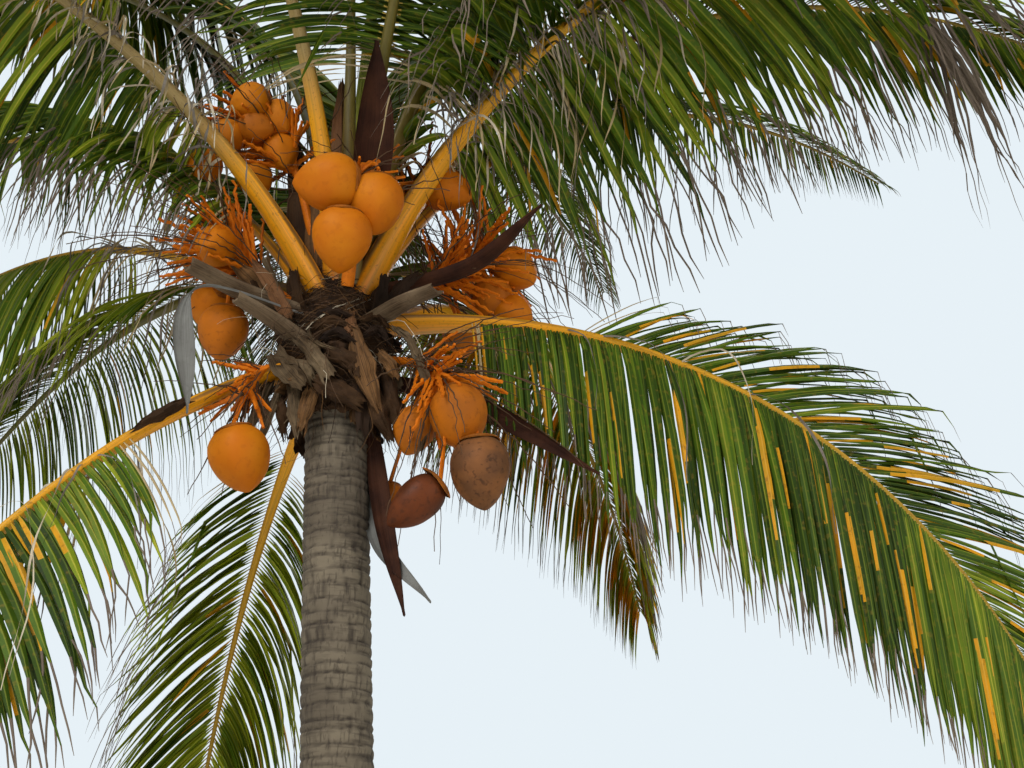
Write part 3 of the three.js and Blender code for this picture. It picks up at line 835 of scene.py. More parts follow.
@dataclass
class Trunk:
    """The leaning stem, with the rings that fallen leaves left and the cracks between them."""

    profile_mm: tuple = (
        (0, 205), (60, 185), (150, 160), (300, 138), (600, 124), (1100, 118), (1700, 117), (2300, 117),
        (2900, 116), (3400, 114), (3650, 100), (3850, 60), (3950, 30),
    )
    height: float = 3.95
    sides: int = 72
    step: float = 0.0065
    first_ring: float = 0.05
    ring_gap: float = 0.04
    ring_count: int = 140
    ring_tilt: float = 0.012
    ring_wander: float = 0.005
    ring_swell: float = 0.0034
    scar_depth: float = 0.005
    scar_reach: float = 0.0085
    crack_depth: float = 0.004
    roughness: float = 0.002
    inset: float = 0.001
    smooth_foot: float = 0.03
    seed: int = 4

    def _ring_heights(self) -> np.ndarray:
        """The heights of the ring scars, unevenly spaced."""
        gaps = self.ring_gap * np.random.default_rng(self.seed).uniform(0.6, 1.45, self.ring_count)
        heights = self.first_ring + np.cumsum(gaps)
        return heights[heights < self.height]

    def _relief(self, angle: float, height: float, rings: np.ndarray) -> tuple[float, float]:
        """How far the bark stands out at a place, and how dark its scar is there."""
        x, y = math.cos(angle), math.sin(angle)
        tilt = self.ring_tilt * ripple((x, y, height * 0.8), 1.3)
        wander = self.ring_wander * ripple((x * 2.5, y * 2.5, height * 3), 2.0)
        level = height + tilt + wander
        k = int(np.searchsorted(rings, level))
        low = rings[k - 1] if k > 0 else 0.0
        high = rings[k] if k < len(rings) else self.height + self.first_ring
        # Each ring swells upward and steps in above its scar
        t = min(max((level - low) / (high - low), 0), 1)
        swell = self.ring_swell * (math.sin(math.pi * t ** 1.6) - 0.3)
        near = min(level - low, 1.6 * (high - level))
        strength = 0.5 + 1.1 * ripple((x * 1.6, y * 1.6, low * 14), 1.7)
        scar = max(0.0, 1 - near / self.scar_reach) * min(1.0, max(0.0, 0.25 + strength))
        crack = max(0.0, ripple((x * 4, y * 4, height * 3.1), 4.2) - 0.2) * 2.0
        rough = self.roughness * ripple((x, y, height * 8), 9.0)
        out = swell + rough - self.scar_depth * scar - self.crack_depth * crack
        return out, min(1.0, 0.85 * scar + 0.9 * crack)

    def dress(self) -> None:
        """Builds the bark, closed at its flat foot and its hidden top, in place of the trunk's solid."""
        rings = self._ring_heights()
        heights = np.append(np.arange(0.0, self.height, self.step), self.height)
        places = np.zeros((len(heights), self.sides, 3))
        marks = np.zeros((len(heights), self.sides))
        for i, height in enumerate(heights):
            radius = read(self.profile_mm, height * 1000) / 1000
            foot = min(1.0, height / self.smooth_foot)
            for k, angle in enumerate(turns(self.sides)):
                out, mark = self._relief(angle, height, rings)
                r = radius - self.inset + out * foot
                places[i, k] = (lean_x(height) + r * math.cos(angle), r * math.sin(angle), height)
                marks[i, k] = mark * foot
        draft = MeshDraft("bark")
        draft.tube(places, "bark")
        piece = draft.build("trunk_bark", smooth=70)
        layer = piece.data.attributes.new("scar", "FLOAT", "POINT")
        layer.data.foreach_set("value", marks.ravel())
        tag(piece, ["trunk"])


# Fronds


@dataclass(frozen=True)
class Habit:
    """How leaflets vary by chance, hang, fade and dry, the same on every frond.

    A pair is a range to choose from. Openings, lifts and twists are in degrees, tones in steps of
    colour, and the rest are shares. The first few leaflets of a side are no more than straws.
    """

    first_length: float = 0.62
    growth: float = 2.0
    fade_start: float = 0.45
    fade_span: float = 0.55
    faded: float = 0.65
    lengths: tuple = (0.88, 1.0)
    widths: tuple = (0.88, 1.1)
    sags: tuple = (0.85, 1.15)
    opening_spread: float = 2.4
    lift_spread: float = 4.0
    twist: float = 26.0
    twist_spread: float = 8.0
    thread_spread: float = 0.06
    thread_limits: tuple = (0.45, 0.92)
    break_chance: float = 0.05
    breaks: tuple = (0.3, 0.6)
    swing: float = 0.2
    wander: float = 0.015
    thread_wander: float = 0.2
    withered_wander: float = 0.4
    first_fall: float = 0.12
    broken_fall: float = 3.0
    withered_fall: float = 4.0
    withered_length: float = 1.5
    withered_width: float = 0.55
    root: float = 0.03
    patch_middles: tuple = (0.12, 0.6)
    patch_reaches: tuple = (0.16, 0.34)
    weak_patch: float = 1.3
    strong_patch: float = 2.6
    strong_chance: float = 0.35
    golden_chance: float = 0.8
    tone: float = 2.0
    tone_drift: float = 2.6
    tone_age: float = 0.5
    tone_spread: float = 0.9
    straws: int = 3
    straw_width: float = 0.4

    def outline(self, shares: np.ndarray, thread: float) -> np.ndarray:
        """A leaflet's half width along its length: a narrow foot, a long blade and a dry thread."""
        places = (0, 0.02, 0.08, 0.2, 0.45, thread - 0.08, thread + 0.02, 0.94, 1.0)
        return np.interp(shares, places, (0.24, 0.3, 0.86, 1.0, 0.98, 0.66, 0.24, 0.16, 0.05))


HABIT = Habit()


@dataclass
class Frond:
    """One feather leaf: an arching rib that bears leaflets on both sides by a rule.

    The first fields shape the rib as in the solids: its number, its turn round the crown, its rise,
    droop and bend, the height of its seat, and how its leaflets sag. The others change the look; the
    tone shift lightens the leaflets as painted light or darkens them as painted shade. A pair holds
    one value for each side of the rib: seen from above, the clockwise side first.
    """

    number: int
    turn: float
    rise: float
    droop: float
    bend: float
    seat_mm: float
    sag: float
    sweep: float = 0.0
    share: float = 1.0
    steps: int = 60
    stalk: str = "stalk_amber"
    stout: float = 1.0
    roll: float = 0.0
    leaflets_a_side: int = 124
    bares: tuple = (BARE_SHARE, BARE_SHARE)
    blade: float = 1.0
    reaches: tuple = (1.0, 1.0)
    opens: tuple = (14.0, 14.0)
    lifts: tuple = (10.0, 10.0)
    sags: tuple = (1.0, 1.0)
    folds: tuple = (1.6, 1.6)
    thread: float = 0.68
    withered: tuple = (2.0, 2.0)
    # Shifts the leaflets' tones by steps: upward as painted light, downward as painted shade
    painted_light: float = 0.0
    amber: float = 0.05
    golden: float = 2.0
    strips: int = 0
    strip_lengths: tuple = (0.3, 0.85)
    places: np.ndarray = field(init=False)

    def __post_init__(self) -> None:
        """Works out the rib's middle line."""
        line = [crown_place(self.turn, FROND_START_MM, self.seat_mm)]
        for i in range(self.steps):
            along = self.directions((i + 0.5) / self.steps)[0]
            line.append(line[-1] + along * FROND_LENGTH * self.share / self.steps)
        self.places = np.array(line)

    def directions(self, u: float) -> tuple[Place, Place, Place]:
        """Along the rib, level across it, and up out of its upper face, at a share of its length."""
        rise = math.radians(self.rise - self.droop * u ** self.bend)
        angle = math.radians(self.turn + self.sweep * u * u)
        along = np.array([math.cos(rise) * math.cos(angle), math.cos(rise) * math.sin(angle), math.sin(rise)])
        side = np.array([-math.sin(angle), math.cos(angle), 0.0])
        return along, side, np.cross(along, side)

    def place(self, u: float) -> Place:
        """The place on the rib's middle line at a share of its length."""
        step = min(int(u * self.steps), self.steps - 1)
        share = u * self.steps - step
        return self.places[step] * (1 - share) + self.places[step + 1] * share

    def nodes(self) -> list[str]:
        """The solids that this frond stands for: one where it rises steeply, and two elsewhere."""
        name = f"frond_{self.number:02d}"
        return [name] if self.rise > UNSPLIT_RISE else [f"{name}_inner", f"{name}_outer"]

    def rib(self, draft: MeshDraft, sides: int = 14) -> None:
        """Adds the rib: rounded below, flatter and channelled above, and broad where it clasps the stem."""
        around = turns(sides)
        over = np.sin(around) > 0
        rings = []
        for i, place in enumerate(self.places):
            u = i / self.steps
            _, side, up = self.directions(u)
            width = read(RIB_HALF_WIDTH_MM, u) / 1000 * min(1.0, self.stout)
            depth = width * read(RIB_DEPTH, u) * max(1.0, self.stout)
            across = np.sign(np.cos(around)) * np.abs(np.cos(around)) ** 0.9 * width
            above = np.sin(around) * depth
            channel = 0.45 * depth * np.exp(-(np.cos(around) / 0.5) ** 2) * over
            above = np.where(over, above * 0.72 - channel * max(0.0, 1 - u * 3), above)
            rings.append(place + across[:, None] * side + above[:, None] * up)
        draft.tube(rings, self.stalk)

    def _length(self, v: float, which: int, withered: bool, rng: np.random.Generator) -> float:
        """A leaflet's length: less near the stalk and towards the leaf's tip, more where withered."""
        grown = min(1.0, HABIT.first_length + HABIT.growth * v)
        faded = 1 - HABIT.faded * max(0.0, (v - HABIT.fade_start) / HABIT.fade_span) ** 1.5
        length = LEAFLET_LENGTH * self.reaches[which] * grown * faded * rng.uniform(*HABIT.lengths)
        return length * (HABIT.withered_length if withered else 1.0)

    def _start(self, u: float, v: float, hand: int, rng: np.random.Generator) -> Place:
        """The direction in which a leaflet leaves the rib."""
        which = (hand + 1) // 2
        near, far = LEAFLET_ANGLES
        opening = near + (far - near) * v + self.opens[which] * max(0.0, 1 - v / 0.5)
        angle = math.radians(opening + rng.normal(0, HABIT.opening_spread))
        lift = math.radians(self.lifts[which] + rng.normal(0, HABIT.lift_spread))
        roll = math.radians(self.roll)
        along, side, up = self.directions(u)
        level = side * math.cos(roll) + up * math.sin(roll)
        above = up * math.cos(roll) - side * math.sin(roll)
        out = level * hand * math.cos(lift) + above * math.sin(lift)
        return along * math.cos(angle) + out * math.sin(angle)

    def _patch(self, v: float, shares: np.ndarray, rng: np.random.Generator) -> np.ndarray:
        """How amber a leaflet is at each of its places: weak on one half of the blade, or strong on both."""
        golden = v > self.golden
        if rng.random() >= (HABIT.golden_chance if golden else self.amber):
            return np.zeros(len(shares))
        middle, reach = rng.uniform(*HABIT.patch_middles), rng.uniform(*HABIT.patch_reaches)
        most = HABIT.strong_patch if rng.random() < HABIT.strong_chance or golden else HABIT.weak_patch
        return most * np.clip(1.5 - np.abs(shares - middle) / reach, 0, 1)

    def leaflet(self, u: float, hand: int, rng: np.random.Generator, tones: Callable[[float], int]) -> Strand:
        """One leaflet by the source's rule, carried on to its dry thread of a tip.

        Args:
            u: the share of the rib's length where it starts.
            hand: 1 or -1, the side that it leaves to.
            rng: the frond's random numbers.
            tones: gives the leaflet's tone number for its place.

        Returns:
            The leaflet's line with its sizes and marks.
        """
        which = (hand + 1) // 2
        v = (u - self.bares[which]) / (1 - self.bares[which])
        withered = self.withered[0] < v < self.withered[1]
        length = self._length(v, which, withered, rng)
        start = self._start(u, v, hand, rng)
        along, side, up = self.directions(u)
        thread = float(np.clip(rng.normal(self.thread, HABIT.thread_spread) + 0.12 * v, *HABIT.thread_limits))
        broken = rng.uniform(*HABIT.breaks) if rng.random() < HABIT.break_chance else 2.0
        swing = rng.normal(0, HABIT.swing, 3)
        sag = self.sag * self.sags[which] * rng.uniform(*HABIT.sags)
        rib = read(RIB_HALF_WIDTH_MM, u) / 1000
        places, ways = [self.place(u) + side * hand * rib * 0.6 + up * rib * 0.12], []
        for t0, t1 in zip(LEAFLET_STEPS, LEAFLET_STEPS[1:]):
            t = (t0 + t1) / 2
            late = max(0.0, (t - thread) / (1 - thread))
            fall = HABIT.first_fall + sag * t ** 1.1 + self.folds[which] * late
            fall += HABIT.broken_fall * (t > broken) + HABIT.withered_fall * withered
            wander = HABIT.wander + HABIT.thread_wander * (t > thread) + HABIT.withered_wander * withered
            way = start - UP * fall + swing * max(0.0, t - thread * 0.8) * 3
            way = unit(way + rng.normal(0, wander, 3))
            ways.append(way)
            places.append(places[-1] + way * length * (t1 - t0))
        ways = np.array([*ways, ways[-1]])
        shares = np.array(LEAFLET_STEPS)
        wide = LEAFLET_HALF_WIDTH * self.blade * math.sqrt(length / LEAFLET_LENGTH)
        wide *= rng.uniform(*HABIT.widths) * (HABIT.withered_width if withered else 1.0)
        girth = wide * HABIT.outline(shares, thread)
        across = unit(along - ways * (ways @ along)[:, None])
        twist = math.radians(HABIT.twist + rng.normal(0, HABIT.twist_spread))
        facing = hand * np.cross(across, ways) * math.cos(twist) - across * math.sin(twist)
        dry = np.maximum(shares > thread, withered).astype(float)
        patch = self._patch(v, shares, rng)
        root = (shares < HABIT.root).astype(float)
        return Strand(np.array(places), girth, facing, tones(v), dry, patch, root)

    def leaflets(self, bundle: StrandBundle) -> None:
        """Adds all the leaflets; neighbours have tones that are close, and the first are mere straws."""
        rng = np.random.default_rng(700 + self.number)
        age = max(0.0, min(1.0, (60 - self.rise) / 70))

        def tone(v: float) -> int:
            """The tone's number: drifting along the leaf, with some leaflets apart."""
            drift = ripple((v * 9, self.number * 3.1, 0.0), 1.0)
            # The frond's shift of tone lightens as painted light and darkens as painted shade
            value = HABIT.tone + self.painted_light + HABIT.tone_drift * drift + HABIT.tone_age * age
            value += rng.normal(0, HABIT.tone_spread)
            return int(min(LIGHTEST_TONE, max(DEEPEST_TONE, round(value))))

        for hand, bare in zip((-1, 1), self.bares):
            count = int(self.leaflets_a_side * self.share * (1 - bare) / (1 - BARE_SHARE))
            for i in range(count):
                u = bare + (1 - bare) * (i + 0.5 + rng.uniform(-0.2, 0.2)) / count
                strand = self.leaflet(u, hand, rng, tone)
                if i < HABIT.straws:
                    strand.girth = strand.girth * HABIT.straw_width
                    strand.tone = STRAW_TONE
                bundle.strands.append(strand)

    def dry_strips(self, bundle: StrandBundle, steps: int = 16) -> None:
        """Adds the pale strips that the leaf's torn edge leaves at its first leaflets."""
        rng = np.random.default_rng(900 + self.number)
        for _ in range(self.strips):
            u = rng.uniform(BARE_SHARE - 0.05, BARE_SHARE + 0.2)
            along, side, up = self.directions(u)
            hand = rng.choice((-1, 1))
            level = side * hand * rng.uniform(0.3, 1) + along * rng.normal(0.5, 0.7)
            way = unit(level + up * rng.uniform(-0.3, 0.5))
            places = [self.place(u) + side * hand * read(RIB_HALF_WIDTH_MM, u) / 1000 * 0.8]
            length = rng.uniform(*self.strip_lengths)
            curl = rng.normal(0, 0.35, 3)
            hold = rng.uniform(0, 0.4)
            for k in range(steps):
                swirl = outward(k * 0.8) * rng.uniform(0.1, 0.3)
                fall = 0.06 if k < hold * steps else 0.4
                way = unit(way - UP * fall + curl * 0.12 + swirl * 0.5)
                places.append(places[-1] + way * length / steps)
            taper = np.interp(np.linspace(0, 1, steps + 1), (0, 0.7, 1), (1, 0.9, 0.3))
            girth = rng.uniform(0.003, 0.0062) * taper
            turn = np.linspace(0, rng.uniform(2, 9), steps + 1)[:, None]
            places = np.array(places)
            first = sideways(places)
            second = unit(np.cross(first, places[-1] - places[0]))
            facing = first * np.cos(turn) + second * np.sin(turn)
            bundle.strands.append(Strand(places, girth, facing, int(rng.integers(0, 3))))


@dataclass
class Fronds:
    """The crown's leaves, joined by level: their ribs in one piece each, and their leaflets."""

    levels: tuple = (
        ("lowest", 1, 4), ("lower", 5, 8), ("middle", 9, 12), ("higher", 13, 16), ("upper", 17, 21),
    )
    fronds: tuple = (
        Frond(1, 205, -10, 75, 0.49, 3610, 1.2, amber=0.2, bares=(0.23, 0.2), lifts=(0, -60),
              opens=(14, 24), sags=(2, 0.9), folds=(1.6, 1.2), leaflets_a_side=172, strips=16, painted_light=-0.4,
              reaches=(0.9, 0.86)),
        Frond(2, 112, -4, 84, 1.2, 3720, 0.9, blade=1.3, lifts=(-10, -6), opens=(0, -12),
              sags=(4, 1.0), folds=(1.6, 3), bares=(0.23, 0.19), leaflets_a_side=136, stout=0.7, painted_light=2.1),
        Frond(3, 8, 13, 100, 1.03, 3790, 1.15, sweep=13, amber=0.22, roll=48, lifts=(-32, 36), blade=0.76,
              opens=(16, -18), sags=(2.6, 0.34), folds=(1, 8), bares=(0.11, 0.22), strips=10, painted_light=-1.1,
              leaflets_a_side=232, reaches=(1.0, 0.86), thread=0.76),
        Frond(4, 150, 53, 86, 1.06, 3640, 1.6, lifts=(-46, -62), opens=(16, 16), sags=(3, 4.4), blade=0.85,
              strips=44, painted_light=2.0, bares=(0.38, 0.4), leaflets_a_side=136),
        Frond(5, 65, 48, 108, 1.1, 3740, 1.5, amber=0.4, lifts=(-8, -20), sags=(2.4, 3.2), painted_light=3.0,
              golden=0.3, blade=1.6, leaflets_a_side=136),
        Frond(6, 86, 60, 88, 1.1, 3700, 1.5),
        Frond(7, 163, 62, 95, 1.1, 3800, 1.5, sags=(0.8, 1.7), bares=(0.14, 0.15), lifts=(40, 10),
              blade=1.05, leaflets_a_side=176),
        Frond(8, 212, 62, 92, 0.92, 3820, 1.6, stalk="stalk_frayed", sags=(1.5, 1.5), painted_light=0.3,
              bares=(0.2, 0.34), leaflets_a_side=204, blade=0.88, strips=100, stout=1.15, amber=0.24,
              strip_lengths=(0.12, 0.5)),
        Frond(9, -22, 66, 96, 1.12, 3890, 1.6, bares=(0.2, 0.17), blade=1.2, opens=(14, 30),
              sags=(1.2, 0.75), lifts=(10, -6), strips=80, amber=0.12, stout=1.35, leaflets_a_side=138,
              thread=0.6, reaches=(1.3, 1.3)),
        Frond(10, 138, 45, 80, 0.7, 3890, 1.5, stalk="stalk_painted_shade", lifts=(-5, 0), sags=(1.8, 1.8),
              painted_light=1.3),
        Frond(11, 30, 66, 78, 1.1, 3930, 1.5, reaches=(0.5, 0.5), blade=0.9, painted_light=-0.6),
        Frond(12, 108, 66, 90, 1.1, 3900, 1.5, stalk="stalk_painted_shade", painted_light=-0.6),
        Frond(13, 66, 70, 85, 1.1, 3960, 1.4, stalk="stalk_painted_shade", painted_light=-0.3, reaches=(0.6, 0.6)),
        Frond(14, 250, 74, 96, 1.1, 3940, 1.6, stalk="stalk_frayed", blade=0.76, painted_light=-0.5,
              leaflets_a_side=130, stout=0.8, bares=(0.36, 0.32), sags=(0.5, 0.8), lifts=(30, 14)),
        Frond(15, 288, 70, 98, 1.1, 3850, 1.6, stalk="stalk_painted_shade", blade=0.76, painted_light=-0.5,
              leaflets_a_side=130, stout=0.62),
        Frond(16, 168, 77.5, 84, 1.1, 3990, 1.5, stalk="stalk_painted_shade", strips=16, painted_light=0.3, blade=1.5,
              bares=(0.24, 0.42), leaflets_a_side=160, thread=0.76, sags=(0.55, 0.5)),
        Frond(17, 318, 76, 90, 1.1, 3960, 1.5, stalk="stalk_painted_shade", painted_light=-0.2, stout=0.7),
        Frond(18, 3, 74.5, 103, 1.1, 3850, 1.7, blade=1.2, amber=0.14, opens=(14, 20), thread=0.6,
              leaflets_a_side=132, reaches=(1.1, 1.1), withered=(0.785, 0.83)),
        Frond(19, 145, 80, 60, 1.2, 4030, 1.1, share=0.92, stalk="stalk_painted_shade", painted_light=-0.5,
              bares=(0.14, 0.36), stout=0.7, blade=1.7, leaflets_a_side=150, thread=0.76),
        Frond(20, 268, 82, 52, 1.3, 4050, 1.0, share=0.88, stalk="stalk_painted_shade", painted_light=-0.6, stout=0.6),
        Frond(21, 35, 84, 44, 1.3, 4060, 0.9, share=0.8, stalk="stalk_painted_shade", painted_light=-0.6,
              bares=(0.12, 0.12), stout=0.6, blade=1.4),
    )

    def dress(self) -> None:
        """Builds the ribs and leaflets of each level and puts them in place of the solids."""
        for level, first, last in self.levels:
            chosen = [frond for frond in self.fronds if first <= frond.number <= last]
            nodes = [name for frond in chosen for name in frond.nodes()]
            draft = MeshDraft("stalk_amber", "stalk_painted_shade", "stalk_frayed")
            leaflets = StrandBundle(Profile.BLADE, list(LEAF_TONES), LEAF_MARKS)
            strips = StrandBundle(Profile.STRIP, ("strand_pale", "strand_grey", "leaf_straw"))
            for frond in chosen:
                frond.rib(draft)
                frond.leaflets(leaflets)
                frond.dry_strips(strips)
            tag(draft.build(f"fronds_{level}_ribs", smooth=50), nodes)
            tag(leaflets.build(f"fronds_{level}_leaflets", thickness=0.035), nodes)
            if strips.strands:
                tag(strips.build(f"fronds_{level}_strips", thickness=0.12), nodes)


# Fruit


class NutState(Enum):
    """What a nut's skin looks like."""

    FRESH = "nut_orange"
    DULL = "nut_dull"
    WEATHERED = "nut_weathered"
    RED = "nut_red"


def nut_girth(s: float) -> float:
    """The nut's half width along its axis: round at the stalk, s = -1, and pointed at the tip, s = 1."""
    return (1 - s) ** 0.72 * (1 + s) ** 0.47 / 1.027


@dataclass
class Nut:
    """One coconut: smooth, faintly three-sided and pointed, with its calyx at the stalk's end."""

    turn: float
    radius_mm: float
    height_mm: float
    half_length_mm: float
    tip: tuple | None = None
    state: NutState = NutState.FRESH
    slim: float = 0.86
    twist: float = 0.6
    rows: int = 24
    sides: int = 30

    def form(self, draft: MeshDraft, joint: Place, number: int) -> Place:
        """Adds the nut and its calyx.

        Args:
            draft: the mesh that takes them.
            joint: the place on the stalk that its twig comes from.
            number: varies the nut.

        Returns:
            The place where the twig meets the calyx.
        """
        centre = crown_place(self.turn, self.radius_mm, self.height_mm)
        way = unit(np.array(self.tip, dtype=float)) if self.tip else unit(centre - joint)
        side = unit(np.cross(way, UP if abs(way[2]) < 0.9 else np.array([1.0, 0, 0])))
        up = np.cross(way, side)
        half = self.half_length_mm / 1000
        around = turns(self.sides)
        lobes = np.cos(3 * around + self.twist + number) + 0.35 * np.cos(6 * around + 2 * number)
        rings = []
        for i in range(self.rows):
            s = -math.cos(math.pi * (i + 0.3) / (self.rows - 0.4))
            sharp = 0.024 + 0.12 * max(0.0, s) * (1 - s * s)
            wide = half * self.slim * nut_girth(s) * (1 + sharp * lobes)
            rings.append(ring(centre + way * half * s * 0.99, side, up, around, wide, wide))
        draft.tube(rings, self.state.value)
        for layer, (reach, lean) in enumerate(((0.32, 0.0), (0.25, 1.0))):
            for turn in turns(3):
                self._scale(draft, centre, (way * half, side * half, up * half), turn + lean, reach, layer)
        return centre - way * half * 0.97

    @staticmethod
    def _scale(draft: MeshDraft, centre: Place, axes: tuple, turn: float, reach: float, layer: int) -> None:
        """Adds one rounded scale of the calyx that holds the nut.

        Args:
            draft: the mesh that takes it.
            centre: the nut's middle.
            axes: the nut's way, side and up, each half a nut long.
            turn: the scale's angle round the nut.
            reach: how far it comes down the nut.
            layer: 0 for the inner scales and 1 for the outer ones.
        """
        way, side, up = axes
        rows, columns = 6, 7
        upper = np.zeros((rows, columns, 3))
        for i in range(rows):
            t = i / (rows - 1)
            s = -1.0 + t * reach * 0.62
            flare = 0.88 * nut_girth(s) + 0.012 + 0.01 * layer
            for k in range(columns):
                spread = centred(k, columns)
                angle = turn + spread * 1.1 * math.sqrt(max(0.0, 1 - t ** 2.4)) + 0.001 * spread
                out = np.cos(angle) * side + np.sin(angle) * up
                upper[i, k] = centre + way * (s - 0.02) + out * flare
        draft.slab(upper, centre + (upper - centre) * 0.975, "calyx")


@dataclass
class Bunch:
    """A bunch: a curved stalk, orange twigs of which some are dry, and the nuts that they carry."""

    name: str
    stalk: tuple
    nuts: tuple
    twigs: int = 26
    dry_twigs: int = 10
    reach: float = 0.3
    spread: float = 0.45
    lean: tuple = (0.0, 0.0, 0.0)
    stalk_wide: tuple = (0.024, 0.016)
    stalk_deep: tuple = (0.019, 0.013)
    rows: int = 25
    sides: int = 10

    def dress(self) -> None:
        """Builds the nuts, the stalk and the twigs in place of the bunch's solid."""
        node = f"fruit_bunch_{self.name}"
        rng = np.random.default_rng(sum(map(ord, self.name)))
        path = Path(self.stalk)
        rings = []
        for u, place, _, side, up in path.stations(self.rows):
            wide = np.interp(u, (0, 1), self.stalk_wide) * (1 + 0.08 * math.sin(19 * u))
            deep = np.interp(u, (0, 1), self.stalk_deep)
            rings.append(ring(place, side, up, turns(self.sides), wide, deep))
        stalk = MeshDraft("twig_orange")
        stalk.tube(rings, "twig_orange")
        draft = MeshDraft(*(state.value for state in NutState), "calyx")
        bundle = StrandBundle(Profile.TWIG, ("twig_orange", "twig_dry"))
        for i, nut in enumerate(self.nuts):
            joint = path.place(1 - self.spread * i / len(self.nuts))
            bundle.strands.append(self._carrier(joint, nut.form(draft, joint, i), rng))
        for i in range(self.twigs + self.dry_twigs):
            bundle.strands.append(self._twig(path, rng, i >= self.twigs))
        tag(draft.build(f"{node}_nuts", smooth=50), [node])
        tag(stalk.build(f"{node}_stalk"), [node])
        tag(bundle.build(f"{node}_twigs"), [node])

    @staticmethod
    def _carrier(joint: Place, cap: Place, rng: np.random.Generator, count: int = 9) -> Strand:
        """The thick, slightly bowed twig that carries a nut."""
        t = np.linspace(0, 1, count)[:, None]
        bow = np.sin(np.pi * t) * (rng.normal(0, 0.015, 3) + np.array([0, 0, 0.02]))
        places = joint * (1 - t) + cap * t + bow
        return Strand(places, np.full(count, 0.0075), np.tile(sideways(places), (count, 1)))

    def _twig(self, path: Path, rng: np.random.Generator, dry: bool, steps: int = 13) -> Strand:
        """A free twig from the stalk's outer part: knobbly and zigzag, or dried, thin and long."""
        place, along, side, up = path.axes(rng.uniform(0.3 if dry else 0.45, 1.0))
        angle = rng.uniform(0, 2 * math.pi)
        out = math.cos(angle) * side + math.sin(angle) * up
        way = unit(along * rng.uniform(0.2, 1.0) + out * rng.uniform(0.6, 1.6) + np.array(self.lean))
        length = self.reach * (rng.uniform(0.9, 2.2) if dry else rng.uniform(0.55, 1.1))
        zig = unit(np.cross(way, rng.normal(0, 1, 3))) * (0.12 if dry else 0.3)
        droop = 0.05 if dry else 0.02
        places = [place]
        for i in range(steps):
            bend = zig * (1 if i % 2 else -1)
            step = unit(way + bend - UP * droop * i + rng.normal(0, 0.07, 3))
            places.append(places[-1] + step * length / steps)
        places = np.array(places)
        if dry:
            girth = rng.uniform(0.0018, 0.0034) * np.linspace(1.2, 0.5, steps + 1)
        else:
            knobs = 1 + 0.22 * (np.arange(steps + 1) % 2)
            girth = rng.uniform(0.007, 0.0105) * np.linspace(1.1, 0.55, steps + 1) * knobs
        return Strand(places, girth, np.tile(sideways(places), (steps + 1, 1)), int(dry))


DULL, WEATHERED, RED = NutState.DULL, NutState.WEATHERED, NutState.RED
BUNCHES = (
    Bunch("front", ((283, 120, 3900), (284, 270, 4190), (283, 330, 4310)), (
        Nut(267, 430, 4150, 126, (-1, -0.1, -0.1), twist=2.2), Nut(292, 400, 4090, 122, (-0.1, 0.1, -0.96)),
        Nut(276, 390, 3925, 124, (-0.05, 0.28, -0.95), twist=1.4), Nut(0, 386, 4434, 108, (0.95, 0.1, -0.35)),
    ), twigs=20, dry_twigs=26, reach=0.22),
    Bunch("upper_left", ((196, 110, 4060), (192, 250, 4520), (190, 400, 4760)), (
        Nut(208, 460, 4710, 84, (-1, 0, -0.5)), Nut(204, 410, 4620, 78, (1, -0.2, -0.3), DULL),
        Nut(206, 330, 4680, 84, (0.5, -0.1, -0.8)), Nut(198, 300, 4550, 84, (0.3, -0.1, -1)),
        Nut(190, 390, 4430, 84, (0.4, 0, -1)), Nut(196, 520, 4580, 84, (-0.5, 0, -1)),
        Nut(190, 600, 4470, 84, (-0.3, 0, -1)),
    ), twigs=80, dry_twigs=40, reach=0.28, lean=(-0.3, -0.2, 0.1)),
    Bunch("left", ((188, 120, 3820), (190, 340, 3990), (190, 470, 4110)), (
        Nut(203, 510, 4030, 95), Nut(181, 450, 3760, 112, None, DULL), Nut(172, 540, 3930, 100),
    ), twigs=100, dry_twigs=50, reach=0.32, lean=(-0.6, -0.25, 0.25)),
    Bunch("lower_left", ((212, 120, 3560), (214, 290, 3520), (216, 350, 3390)), (
        Nut(218, 350, 3150, 122, (0.3, 0.2, -1)),
    ), twigs=30, dry_twigs=40, reach=0.2, lean=(-0.6, 0.1, -0.2)),
    Bunch("upper_right", ((46, 100, 4040), (45, 250, 4480), (42, 370, 4740)), (
        Nut(40, 470, 4670, 100), Nut(52, 400, 4590, 95),
    ), twigs=24, dry_twigs=40, reach=0.3),
    Bunch("right", ((30, 95, 3860), (27, 380, 4090), (22, 600, 4300)), (
        Nut(17, 700, 4180, 104), Nut(22, 620, 4040, 104, None, DULL), Nut(19, 700, 3970, 92),
        Nut(31, 520, 3900, 92, None, DULL),
    ), twigs=100, dry_twigs=80, reach=0.32, lean=(0.1, -0.3, -0.2)),
    Bunch("lower_right", ((352, 110, 3640), (346, 320, 3590), (338, 450, 3480)), (
        Nut(336, 510, 3310, 120, (0.1, 0.0, -1), DULL),
        Nut(338, 590, 3095, 132, (0.1, 0.1, -1), WEATHERED, slim=0.78),
        Nut(326, 390, 2990, 118, (-1, 0.1, -0.9), RED, slim=0.62), Nut(340, 320, 3300, 92, None, DULL),
        Nut(24, 222, 3110, 76, (0, 0, -1), DULL),
    ), twigs=40, dry_twigs=70, reach=0.32, lean=(0.3, 0.0, -0.4)),
    Bunch("back", ((92, 110, 3900), (92, 330, 4110), (92, 470, 4080)), (
        Nut(84, 480, 3880, 115), Nut(98, 520, 3960, 115), Nut(92, 580, 3780, 115), Nut(106, 420, 3830, 110),
    ), twigs=44, dry_twigs=24, reach=0.28),
)


# Dry parts


